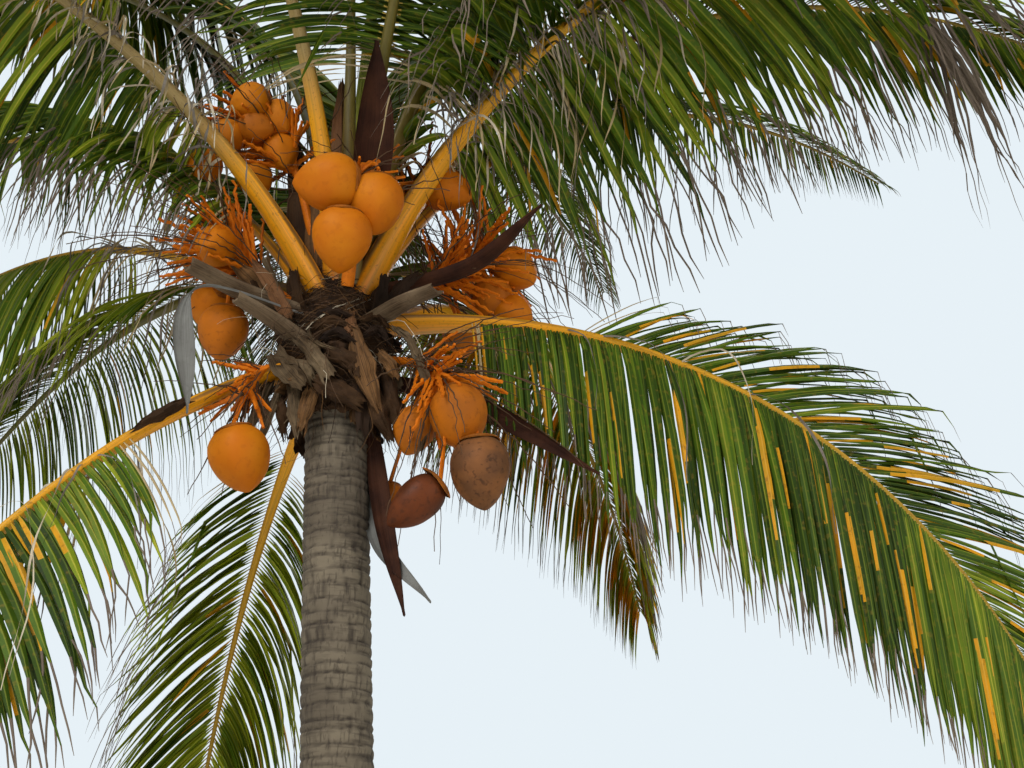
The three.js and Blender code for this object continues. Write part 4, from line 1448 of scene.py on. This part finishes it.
@dataclass
class Spathe:
    """A dry woody boat that once held the flowers: grooved outside, hollow inside."""

    name: str
    path: tuple
    half_mm: float
    outside: str = "spathe_dark"
    inside: str = "spathe_dark"
    across: tuple | None = None
    flip: float = 1.0
    stem: float = 0.0
    open_angle: float = 150.0
    depth_share: float = 0.8
    wall: float = 0.005
    rows: int = 36
    columns: int = 15

    def _bulge(self, u: float) -> float:
        """The half width at a share of the length, as a share of the widest; a stem stays thin."""
        if self.stem:
            share = min(1.0, max(0.0, u - self.stem) / (0.99 - self.stem))
            return max(0.1, math.sin(math.pi * share))
        return max(0.12, math.sin(math.pi * (0.12 + 0.86 * u)))

    def dress(self) -> None:
        """Builds the boat in place of its solid."""
        path = Path(self.path, self.across)
        upper = np.zeros((self.rows, self.columns, 3))
        lower = np.zeros((self.rows, self.columns, 3))
        for i, (u, place, _, side, up) in enumerate(path.stations(self.rows)):
            half = self.half_mm / 1000 * self._bulge(u)
            depth = half * self.depth_share
            for k in range(self.columns):
                angle = math.radians(centred(k, self.columns) / 2 * self.open_angle)
                reach = math.sin(angle) / math.sin(math.radians(self.open_angle / 2))
                groove = 1 + 0.03 * math.cos(9 * angle)
                deep = -math.cos(angle) * depth * groove + 0.4 * depth
                wander = 0.004 * ripple((u * 6, k * 0.35, self.half_mm), 1.0)
                upper[i, k] = place + side * half * reach + up * (deep * self.flip + wander)
                lower[i, k] = upper[i, k] - up * self.flip * self.wall - side * 0.002 * reach
        draft = MeshDraft(*dict.fromkeys((self.outside, self.inside)))
        if self.flip > 0:
            draft.slab(upper, lower, self.inside, self.outside)
        else:
            draft.slab(lower, upper, self.outside, self.inside)
        tag(draft.build(f"spathe_{self.name}_boat", smooth=50), [f"spathe_{self.name}"])


SPATHES = (
    Spathe("upright", ((300, 130, 4070), (289, 405, 4390), (284, 610, 4680)), 74, flip=-1.0),
    Spathe("right", ((352, 80, 3935), (345, 500, 3980), (327, 900, 4010)), 46),
    Spathe("lower_right", ((355, 150, 3560), (2, 480, 3480), (355, 960, 3150)), 46,
           "spathe_grey", "spathe_dark", (0, 0, 1)),
    Spathe("left", ((226, 150, 3780), (219, 590, 3740), (230, 620, 3200)), 36,
           "spathe_grey", "spathe_grey", (1, 0.3, 0), stem=0.54),
    Spathe("hanging_dark", ((350, 130, 3440), (346, 205, 3020), (318, 420, 2590)), 36, across=(1, 0, 0)),
    Spathe("hanging_grey", ((14, 130, 3440), (348, 185, 2950), (322, 500, 2625)), 34,
           "spathe_grey", "spathe_grey", (1, 0, 0.5)),
)


@dataclass
class DeadStalk:
    """The grey, channelled stub of a dead leaf stalk with a torn end."""

    name: str
    path: tuple
    half_mm: tuple
    rows: int = 26
    sides: int = 24

    def dress(self) -> None:
        """Builds the stub in place of its solid."""
        path = Path(self.path)
        rings = np.zeros((self.rows, self.sides, 3))
        for i, (u, place, along, side, up) in enumerate(path.stations(self.rows)):
            width = np.interp(u, (0, 1), self.half_mm) / 1000
            tear = max(0, u - 0.85) / 0.15
            for k, angle in enumerate(turns(self.sides)):
                x, y = math.cos(angle), math.sin(angle)
                rough = 1 + 0.06 * ripple((x * 3, y * 3, u * 3 + width * 90), 1.6)
                # The upper half is hollowed out to a channel between two low ridges
                high = 0.4 * abs(x) ** 1.5 * y ** 0.3 - 0.08 if y > 0 else y * 0.45
                torn = 0.03 * ripple((x * 4, y * 4, width), 2.0) * tear
                rings[i, k] = place + along * torn + (side * x + up * high) * width * rough
        draft = MeshDraft("stub_grey")
        draft.tube(rings, "stub_grey")
        tag(draft.build(f"{self.name}_stub", smooth=45), [self.name])


DEAD_STALKS = (
    DeadStalk("dead_stalk_left", ((200, 130, 3800), (204, 380, 3850), (209, 600, 3885)), (66, 46)),
    DeadStalk("dead_stalk_lower_left", ((226, 140, 3640), (224, 300, 3700), (222, 450, 3740)), (55, 34)),
    DeadStalk("dead_stalk_right", ((318, 140, 3740), (320, 330, 3770), (322, 480, 3780)), (50, 34)),
)


@dataclass
class Plate:
    """A torn leaf base: a plate that leaves the neck's wall, rolled at its sides and torn at its end."""

    turn: float
    foot_mm: float
    tilt: float
    length: float
    width: float
    lift: float = 25.0
    curl: float = 20.0
    roll: float = 0.3
    finish: str = "plate_tan"
    sink: float = 0.94
    taper: float = 0.35
    torn: float = 0.16
    rows: int = 18
    columns: int = 9

    def form(self, draft: MeshDraft, foot_radius_mm: float, number: int) -> None:
        """Adds the plate.

        Args:
            draft: the mesh that takes it.
            foot_radius_mm: the neck's radius at the plate's foot.
            number: varies the plate.
        """
        turn, tilt = math.radians(self.turn), math.radians(self.tilt)
        out = outward(turn)
        around = np.array([-math.sin(turn), math.cos(turn), 0.0])
        wall = UP * math.cos(tilt) + around * math.sin(tilt)
        side = np.cross(out, wall)
        place = np.array([lean_x(self.foot_mm / 1000), 0.0, self.foot_mm / 1000])
        place = place + out * foot_radius_mm / 1000 * self.sink
        upper = np.zeros((self.rows, self.columns, 3))
        lower = np.zeros((self.rows, self.columns, 3))
        for i in range(self.rows):
            u = i / (self.rows - 1)
            angle = math.radians(self.lift + self.curl * u)
            along = wall * math.cos(angle) + out * math.sin(angle)
            above = out * math.cos(angle) - wall * math.sin(angle)
            if i:
                place = place + along * self.length / (self.rows - 1)
            uneven = 1 + 0.25 * ripple((u * 4, number * 7.1, 0.0), 1.0)
            width = self.width / 2 * (1 - self.taper * u) * uneven
            thickness = 0.007 - 0.004 * u
            for k in range(self.columns):
                s = centred(k, self.columns)
                torn = self.torn * self.length * ripple((s * 3.2, number * 3.3, 1.0), 1.0) * u ** 3
                dip = self.roll * width * s * s + 0.012 * ripple((s * 1.7, u * 3, number * 1.7), 1.3)
                upper[i, k] = place + side * s * width + above * dip + along * torn
                lower[i, k] = upper[i, k] - above * thickness
        draft.slab(upper, lower, self.finish)


@dataclass
class Sheet:
    """A torn, dry sheet through three places, with a width at each, that shows its face outward."""

    places_mm: tuple
    widths_mm: tuple
    finish: str
    curl: float = 0.4
    face: tuple = (0.0, -1.0, -0.3)
    thickness: float = 0.004
    rows: int = 20
    columns: int = 9

    def form(self, draft: MeshDraft, number: int) -> None:
        """Adds the sheet.

        Args:
            draft: the mesh that takes it.
            number: varies its torn outline.
        """
        path = Path(np.array(self.places_mm) / 1000, polar=False)
        upper = np.zeros((self.rows, self.columns, 3))
        lower = np.zeros((self.rows, self.columns, 3))
        face = unit(np.array(self.face))
        for i, (u, place, along, _, _) in enumerate(path.stations(self.rows)):
            side = unit(np.cross(along, face))
            above = np.cross(side, along)
            width = np.interp(u, (0, 0.5, 1), self.widths_mm) / 2000
            for k in range(self.columns):
                s = centred(k, self.columns)
                ragged = 1 + 0.35 * ripple((u * 6, number * 5.3, np.sign(s) * 2.0), 1.0)
                end = 0.045 * ripple((s * 4.5, number * 2.9, 4.0), 1.0) * (2 * u - 1) ** 3
                dip = -self.curl * width * s * s + 0.014 * ripple((s * 2.2, u * 5, number * 1.9), 1.2)
                upper[i, k] = place + side * s * width * ragged + above * dip + along * end
                lower[i, k] = upper[i, k] - above * self.thickness
        draft.slab(upper, lower, self.finish)


SHEETS = (
    # The pale tongue, the curled lips, the long wedge, the sawn stub and the pale ridge
    Sheet(((-440, -160, 3685), (-345, -235, 3560), (-270, -250, 3450)), (40, 60, 60), "plate_grey", 0.5),
    Sheet(((-495, -120, 3610), (-420, -200, 3490), (-355, -250, 3410)), (60, 85, 60), "plate_grey", -0.8),
    Sheet(((-445, -170, 3550), (-370, -240, 3495), (-335, -220, 3440)), (50, 55, 30), "plate_grey", 1.2),
    Sheet(((-210, -210, 3680), (-155, -235, 3490), (-95, -190, 3335)), (35, 100, 20), "plate_tan", 0.35),
    Sheet(((-230, -180, 3755), (-220, -215, 3690), (-220, -225, 3630)), (40, 45, 50), "spathe_brown", 0.5),
    Sheet(((-395, -140, 3755), (-340, -220, 3610), (-225, -240, 3550)), (10, 20, 10), "plate_grey", 0.8),
    Sheet(((-280, -235, 3560), (-195, -240, 3515), (-180, -230, 3475)), (60, 70, 40), "sheath_brown", 0.6),
    # Dark crescents above, at the edges of old leaf bases: the darker sheets are painted shade under those
    # edges
    Sheet(((-365, -180, 3715), (-295, -210, 3740), (-220, -210, 3715)), (20, 40, 20), "sheath_dark", 0.8),
    Sheet(((-350, -200, 3660), (-280, -225, 3695), (-210, -220, 3660)), (20, 40, 20), "sheath_brown", 0.8),
    Sheet(((-330, -210, 3610), (-260, -235, 3640), (-195, -225, 3605)), (20, 40, 20), "sheath_dark", 0.8),
    Sheet(((-185, -190, 3710), (-130, -180, 3740), (-85, -150, 3700)), (20, 35, 20), "sheath_brown", 0.8),
    Sheet(((-165, -200, 3645), (-120, -190, 3675), (-75, -160, 3625)), (20, 35, 20), "sheath_dark", 0.8),
    # The fan over the trunk's top and the sheets that hang beside it
    Sheet(((-330, -220, 3460), (-240, -230, 3405), (-155, -200, 3360)), (60, 85, 50), "sheath_brown", 0.5),
    Sheet(((-530, -120, 3470), (-510, -150, 3375), (-500, -130, 3305)), (30, 45, 20), "plate_grey"),
    Sheet(((-470, -140, 3460), (-445, -170, 3350), (-430, -150, 3265)), (30, 40, 20), "sheath_brown"),
    Sheet(((-410, -180, 3445), (-390, -200, 3335), (-375, -180, 3260)), (40, 55, 30), "plate_grey"),
    Sheet(((-335, -200, 3430), (-350, -210, 3345), (-365, -190, 3270)), (50, 55, 30), "plate_tan"),
    Sheet(((-490, -120, 3540), (-535, -160, 3360), (-580, -160, 3185)), (30, 35, 10), "plate_grey"),
    Sheet(((-530, -80, 3580), (-590, -120, 3420), (-640, -120, 3280)), (20, 20, 10), "plate_tan"),
    Sheet(((-455, -150, 3485), (-485, -180, 3315), (-525, -180, 3155)), (30, 30, 10), "plate_grey"),
    # Brown sheaths that climb behind the front nuts and beside the stalks
    Sheet(((-430, -20, 3920), (-480, -40, 4300), (-535, -50, 4700)), (130, 120, 24), "sheath_brown", 0.6),
    Sheet(((-385, -50, 3910), (-395, -70, 4250), (-425, -80, 4560)), (100, 100, 24), "plate_tan", 0.6),
    Sheet(((-335, -40, 3920), (-335, -60, 4400), (-350, -70, 4950)), (120, 120, 30), "spathe_brown", 0.6),
    Sheet(((-730, -290, 3350), (-810, -330, 3275), (-890, -360, 3195)), (30, 46, 10), "sheath_brown", 0.7),
    Sheet(((-520, -100, 3800), (-590, -140, 3900), (-680, -160, 3980)), (80, 90, 40), "plate_tan", 0.5),
    Sheet(((-460, -170, 3740), (-520, -200, 3850), (-600, -200, 3960)), (50, 60, 24), "spathe_brown", 0.5),
    Sheet(((-90, -120, 3790), (-50, -140, 3880), (20, -140, 3950)), (60, 60, 24), "sheath_dark", 0.5),
    # Sheets on the right and the long grey ribbon
    Sheet(((-110, -210, 3575), (-70, -220, 3520), (-40, -200, 3465)), (30, 50, 30), "plate_tan", 0.6),
    Sheet(((-85, -160, 3520), (-55, -180, 3395), (-25, -150, 3280)), (50, 60, 30), "sheath_brown", 0.6),
    Sheet(((-130, -170, 3440), (-95, -190, 3335), (-50, -150, 3245)), (60, 70, 30), "sheath_brown", 0.6),
    Sheet(((-75, -140, 3715), (-10, -170, 3650), (30, -180, 3570)), (20, 30, 35), "plate_grey", 0.4),
    Sheet(((30, -180, 3570), (80, -170, 3405), (50, -150, 3205)), (35, 30, 20), "plate_grey", 0.4),
)
PLATES = (
    # Broad sheets behind the torn ones, and sheaths that climb beside the stalks
    Plate(278, 3500, 160, 0.15, 0.1, 6, -2, -0.2, "sheath_brown"),
    Plate(250, 3490, 182, 0.14, 0.085, 12, 4, -0.3, "sheath_brown"),
    Plate(222, 3540, 196, 0.2, 0.09, 24, 4, -0.4, "sheath_brown"),
    Plate(304, 3620, 176, 0.3, 0.1, 5, -2, -0.3, "sheath_brown"),
    Plate(316, 3600, 184, 0.34, 0.1, 10, -4, -0.4, "sheath_dark"),
    Plate(328, 3580, 178, 0.3, 0.12, 26, -12, -0.3, "sheath_brown"),
    Plate(206, 3740, 22, 0.28, 0.1, 36, -8, 0.5, "plate_grey"),
    Plate(224, 3770, 6, 0.18, 0.07, 26, -8, 0.5, "sheath_brown"),
    Plate(324, 3740, -16, 0.2, 0.08, 34, -8, 0.5, "sheath_dark"),
    Plate(194, 3720, 14, 0.26, 0.12, 44, -10, 0.5, "sheath_brown"),
)


@dataclass
class CrownHeart:
    """The neck of the crown: fibrous old sheaths, torn plates and loose fibres."""

    profile_mm: tuple = (
        (3370, 60), (3390, 128), (3460, 158), (3560, 190), (3660, 195), (3760, 172), (3860, 130), (3960, 90),
        (4080, 50), (4150, 20),
    )
    sides: int = 120
    rows: int = 180
    plates: int = 84
    plate_feet_mm: tuple = (3410, 440)
    plate_turn: float = 137.5
    plate_finishes: tuple = ("plate_tan", "sheath_brown", "plate_grey", "sheath_dark", "sheath_brown")
    front: float = 268.0
    fibres: int = 1000
    seed: int = 11

    def _radius(self, height_mm: float) -> float:
        """The neck's radius at a height, in metres."""
        return float(read(self.profile_mm, height_mm)) / 1000

    def _swelling(self) -> bpy.types.Object:
        """The mass of old sheaths with slanting ridges and the crescents of leaf bases."""
        rings = np.zeros((self.rows, self.sides, 3))
        for i, height in enumerate(np.linspace(self.profile_mm[0][0], self.profile_mm[-1][0], self.rows)):
            for k, angle in enumerate(turns(self.sides)):
                x, y, z = math.cos(angle), math.sin(angle), height / 1000
                slant = 0.07 * math.sin(5 * angle + height / 90)
                ridge = 0.1 * ripple((x * 2, y * 2, z * 9), 2.4)
                fine = 0.07 * ripple((x * 9, y * 9, z * 40), 1.5)
                arch = (height / 46 + 0.5 * math.cos(2.5 * angle + height / 160)) % 1.0 - 0.5
                radius = self._radius(height) * (1 + slant + ridge + fine) + 0.026 * arch
                rings[i, k] = (lean_x(z) + radius * x, radius * y, z)
        draft = MeshDraft("sheath_brown")
        draft.tube(rings, "sheath_brown")
        return draft.build("leaf_sheath_swelling", smooth=60)

    def _plates(self) -> bpy.types.Object:
        """The torn plates: those that show in front one by one, and the rest all round by a rule."""
        rng = np.random.default_rng(self.seed)
        start, rise = self.plate_feet_mm
        plates = list(PLATES)
        for i in range(self.plates):
            foot = start + rise * (i / (self.plates - 1)) + rng.uniform(-20, 20)
            turn = self.plate_turn * i + rng.uniform(-10, 10)
            hangs = foot < 3600 or rng.random() < 0.3
            # The front is left to the plates and sheets that the photo shows
            if math.cos(math.radians(turn - self.front)) > (0.75 if foot < 3560 else 0.35):
                continue
            plates.append(Plate(
                turn=turn, foot_mm=foot,
                tilt=rng.uniform(150, 210) if hangs else rng.uniform(-35, 35),
                length=rng.uniform(0.1, 0.17), width=rng.uniform(0.05, 0.12),
                lift=rng.uniform(6, 30), curl=rng.uniform(-10, 50), roll=rng.uniform(-0.5, 0.5),
                finish=self.plate_finishes[i % len(self.plate_finishes)],
            ))
        draft = MeshDraft("plate_tan", "plate_grey", "sheath_brown", "sheath_dark", "spathe_brown")
        for i, plate in enumerate(plates):
            plate.form(draft, float(read(self.profile_mm, plate.foot_mm)), i)
        for i, sheet in enumerate(SHEETS):
            sheet.form(draft, i)
        return draft.build("leaf_sheath_plates", smooth=45)

    def _wrapped(self, height: float, turn: float, steps: int, rng: np.random.Generator) -> list:
        """The places of a fibre that winds round the neck, from a height in millimetres and an angle."""
        length = rng.uniform(0.1, 0.3)
        climb = rng.choice((-1, 1)) * rng.uniform(0.2, 0.9)
        places = []
        for i in range(steps + 1):
            angle = turn + i * length / steps / self._radius(height)
            level = height / 1000 + climb * i * length / steps
            reach = self._radius(level * 1000)
            reach += 0.008 + 0.02 * math.sin(math.pi * i / steps) + 0.006 * rng.normal()
            places.append((lean_x(level) + reach * math.cos(angle), reach * math.sin(angle), level))
        return places

    def _loose(self, height: float, turn: float, steps: int, rng: np.random.Generator) -> list:
        """The places of a fibre that hangs and curls, from a height in millimetres and an angle."""
        length = rng.uniform(0.1, 0.38)
        out = outward(turn)
        way = unit(out * rng.uniform(0.2, 1.0) + rng.normal(0, 0.5, 3))
        foot = np.array([lean_x(height / 1000), 0.0, height / 1000])
        places = [foot + out * self._radius(height) * 0.95]
        for _ in range(steps):
            way = unit(way + rng.normal(0, 0.2, 3) - UP * 0.2)
            places.append(places[-1] + way * length / steps)
        return places

    def _fibres(self, steps: int = 9) -> bpy.types.Object:
        """Loose brown fibres: two of three wrapped round the sheaths, the others hanging and curling."""
        rng = np.random.default_rng(self.seed + 1)
        bundle = StrandBundle(Profile.TWIG, ("sheath_dark", "twig_dry", "strand_pale", "plate_tan"))
        for number in range(self.fibres):
            height = rng.uniform(3400, 3980)
            turn = math.radians(rng.uniform(0, 360))
            shape = self._wrapped if number % 3 else self._loose
            places = np.array(shape(height, turn, steps, rng))
            girth = np.linspace(1.0, 0.5, steps + 1) * rng.uniform(0.0008, 0.002)
            tone = int(rng.choice(4, p=(0.5, 0.34, 0.04, 0.12)))
            facing = np.tile(sideways(places), (steps + 1, 1))
            bundle.strands.append(Strand(places, girth, facing, tone))
        return bundle.build("leaf_sheath_fibres", sides=4)

    def dress(self) -> None:
        """Builds the neck in place of its solid."""
        for piece in (self._swelling(), self._plates(), self._fibres()):
            tag(piece, ["leaf_sheath"])


@dataclass
class SpearLeaf:
    """The unopened leaf in the crown's middle: pleated leaflets pressed round their rib."""

    foot_mm: float = 4090.0
    length_mm: float = 2250.0
    half_mm: tuple = ((0, 26), (0.2, 34), (0.6, 24), (1, 3))
    pleat: float = 0.14
    twist: float = 1.2
    rows: int = 50
    sides: int = 36

    def dress(self) -> None:
        """Builds the spear in place of its solid."""
        top, half_way = self.foot_mm + self.length_mm, self.foot_mm + self.length_mm / 2
        path = Path(((0, 0, self.foot_mm), (0, 20, half_way), (0, 60, top)))
        pleats = 1 - self.pleat * (np.arange(self.sides) % 3 == 0)
        rings = []
        for u, place, _, side, up in path.stations(self.rows):
            radius = read(self.half_mm, u) / 1000 * pleats
            rings.append(ring(place, side, up, turns(self.sides) + u * self.twist, radius, radius))
        draft = MeshDraft("spear_green")
        draft.tube(rings, "spear_green")
        tag(draft.build("spear_leaf_pleats", smooth=30), ["spear_leaf"])


# Stage


@dataclass
class Studio:
    """A pale floor and backdrop, soft lights and the camera at the photo's viewing angle."""

    eye: tuple = (0.37, -3.82, 1.6)
    pitch: float = 27.0
    lens: float = 40.4
    sensor: float = 36.0
    far_clip: float = 200.0
    sky: tuple = (0.80, 0.88, 0.93, 1.0)
    light: tuple = (0.53, 0.54, 0.5, 1.0)
    # Each lamp's place, the place that it shines at, its size in metres and its power in watts
    lamps: tuple = (
        ("key", (-4.5, -9.0, 9.0), (-0.3, 0, 4.0), 5.0, 860.0),
        ("fill", (7.0, -6.0, 4.8), (0, 0, 4.2), 6.0, 190.0),
        ("back", (2.0, 8.0, 10.0), (0, 0, 4.6), 6.0, 480.0),
        ("low", (-3.7, -9.6, 3.5), (-0.4, 1.0, 3.4), 5.4, 116.0),
    )
    floor_reach: float = 30.0
    floor_colour: tuple = (0.82, 0.81, 0.78, 1)

    def _camera(self) -> None:
        """Adds the camera."""
        data = bpy.data.cameras.new("camera")
        data.lens = self.lens
        data.sensor_width = self.sensor
        data.clip_end = self.far_clip
        camera = linked("camera", data)
        camera.location = self.eye
        camera.rotation_euler = (math.radians(90 + self.pitch), 0.0, 0.0)
        bpy.context.scene.camera = camera

    def _lights(self) -> None:
        """Adds the world's even light, which the camera sees as the sky, and the large soft lamps."""
        world = bpy.data.worlds.new("studio")
        world.use_nodes = True
        sheet = NodeSheet(world.node_tree)
        seen = sheet.node("ShaderNodeLightPath").outputs["Is Camera Ray"]
        sheet.fill(sheet.tree.nodes["Background"], {"Color": sheet.mix(seen, self.light, self.sky)})
        bpy.context.scene.world = world
        bpy.context.scene.view_settings.view_transform = "Standard"
        for name, place, target, size, power in self.lamps:
            data = bpy.data.lights.new(name, "AREA")
            data.size = size
            data.energy = power
            lamp = linked(name, data)
            lamp.location = place
            lamp.rotation_euler = (Vector(target) - Vector(place)).to_track_quat("-Z", "Y").to_euler()

    def _floor(self) -> None:
        """Adds the pale floor."""
        mesh = bpy.data.meshes.new("floor")
        reach = self.floor_reach
        corners = [(-reach, -reach, 0), (reach, -reach, 0), (reach, reach, 0), (-reach, reach, 0)]
        mesh.from_pydata(corners, [], [(0, 1, 2, 3)])
        pale = bpy.data.materials.new("floor_pale")
        pale.use_nodes = True
        shader = pale.node_tree.nodes["Principled BSDF"]
        shader.inputs["Base Color"].default_value = self.floor_colour
        shader.inputs["Roughness"].default_value = 0.9
        mesh.materials.append(pale)
        linked("floor", mesh)

    def build(self) -> None:
        """Sets the stage."""
        self._camera()
        self._lights()
        self._floor()


def main() -> None:
    """Builds the palm part by part."""
    logging.basicConfig(level=logging.INFO, format="%(name)s: %(message)s")
    Studio().build()
    weathering_group()
    fibre_group()
    for part in (Trunk(), CrownHeart(), SpearLeaf(), Fronds(), *BUNCHES, *SPATHES, *DEAD_STALKS):
        part.dress()


if __name__ == "__main__":
    main()
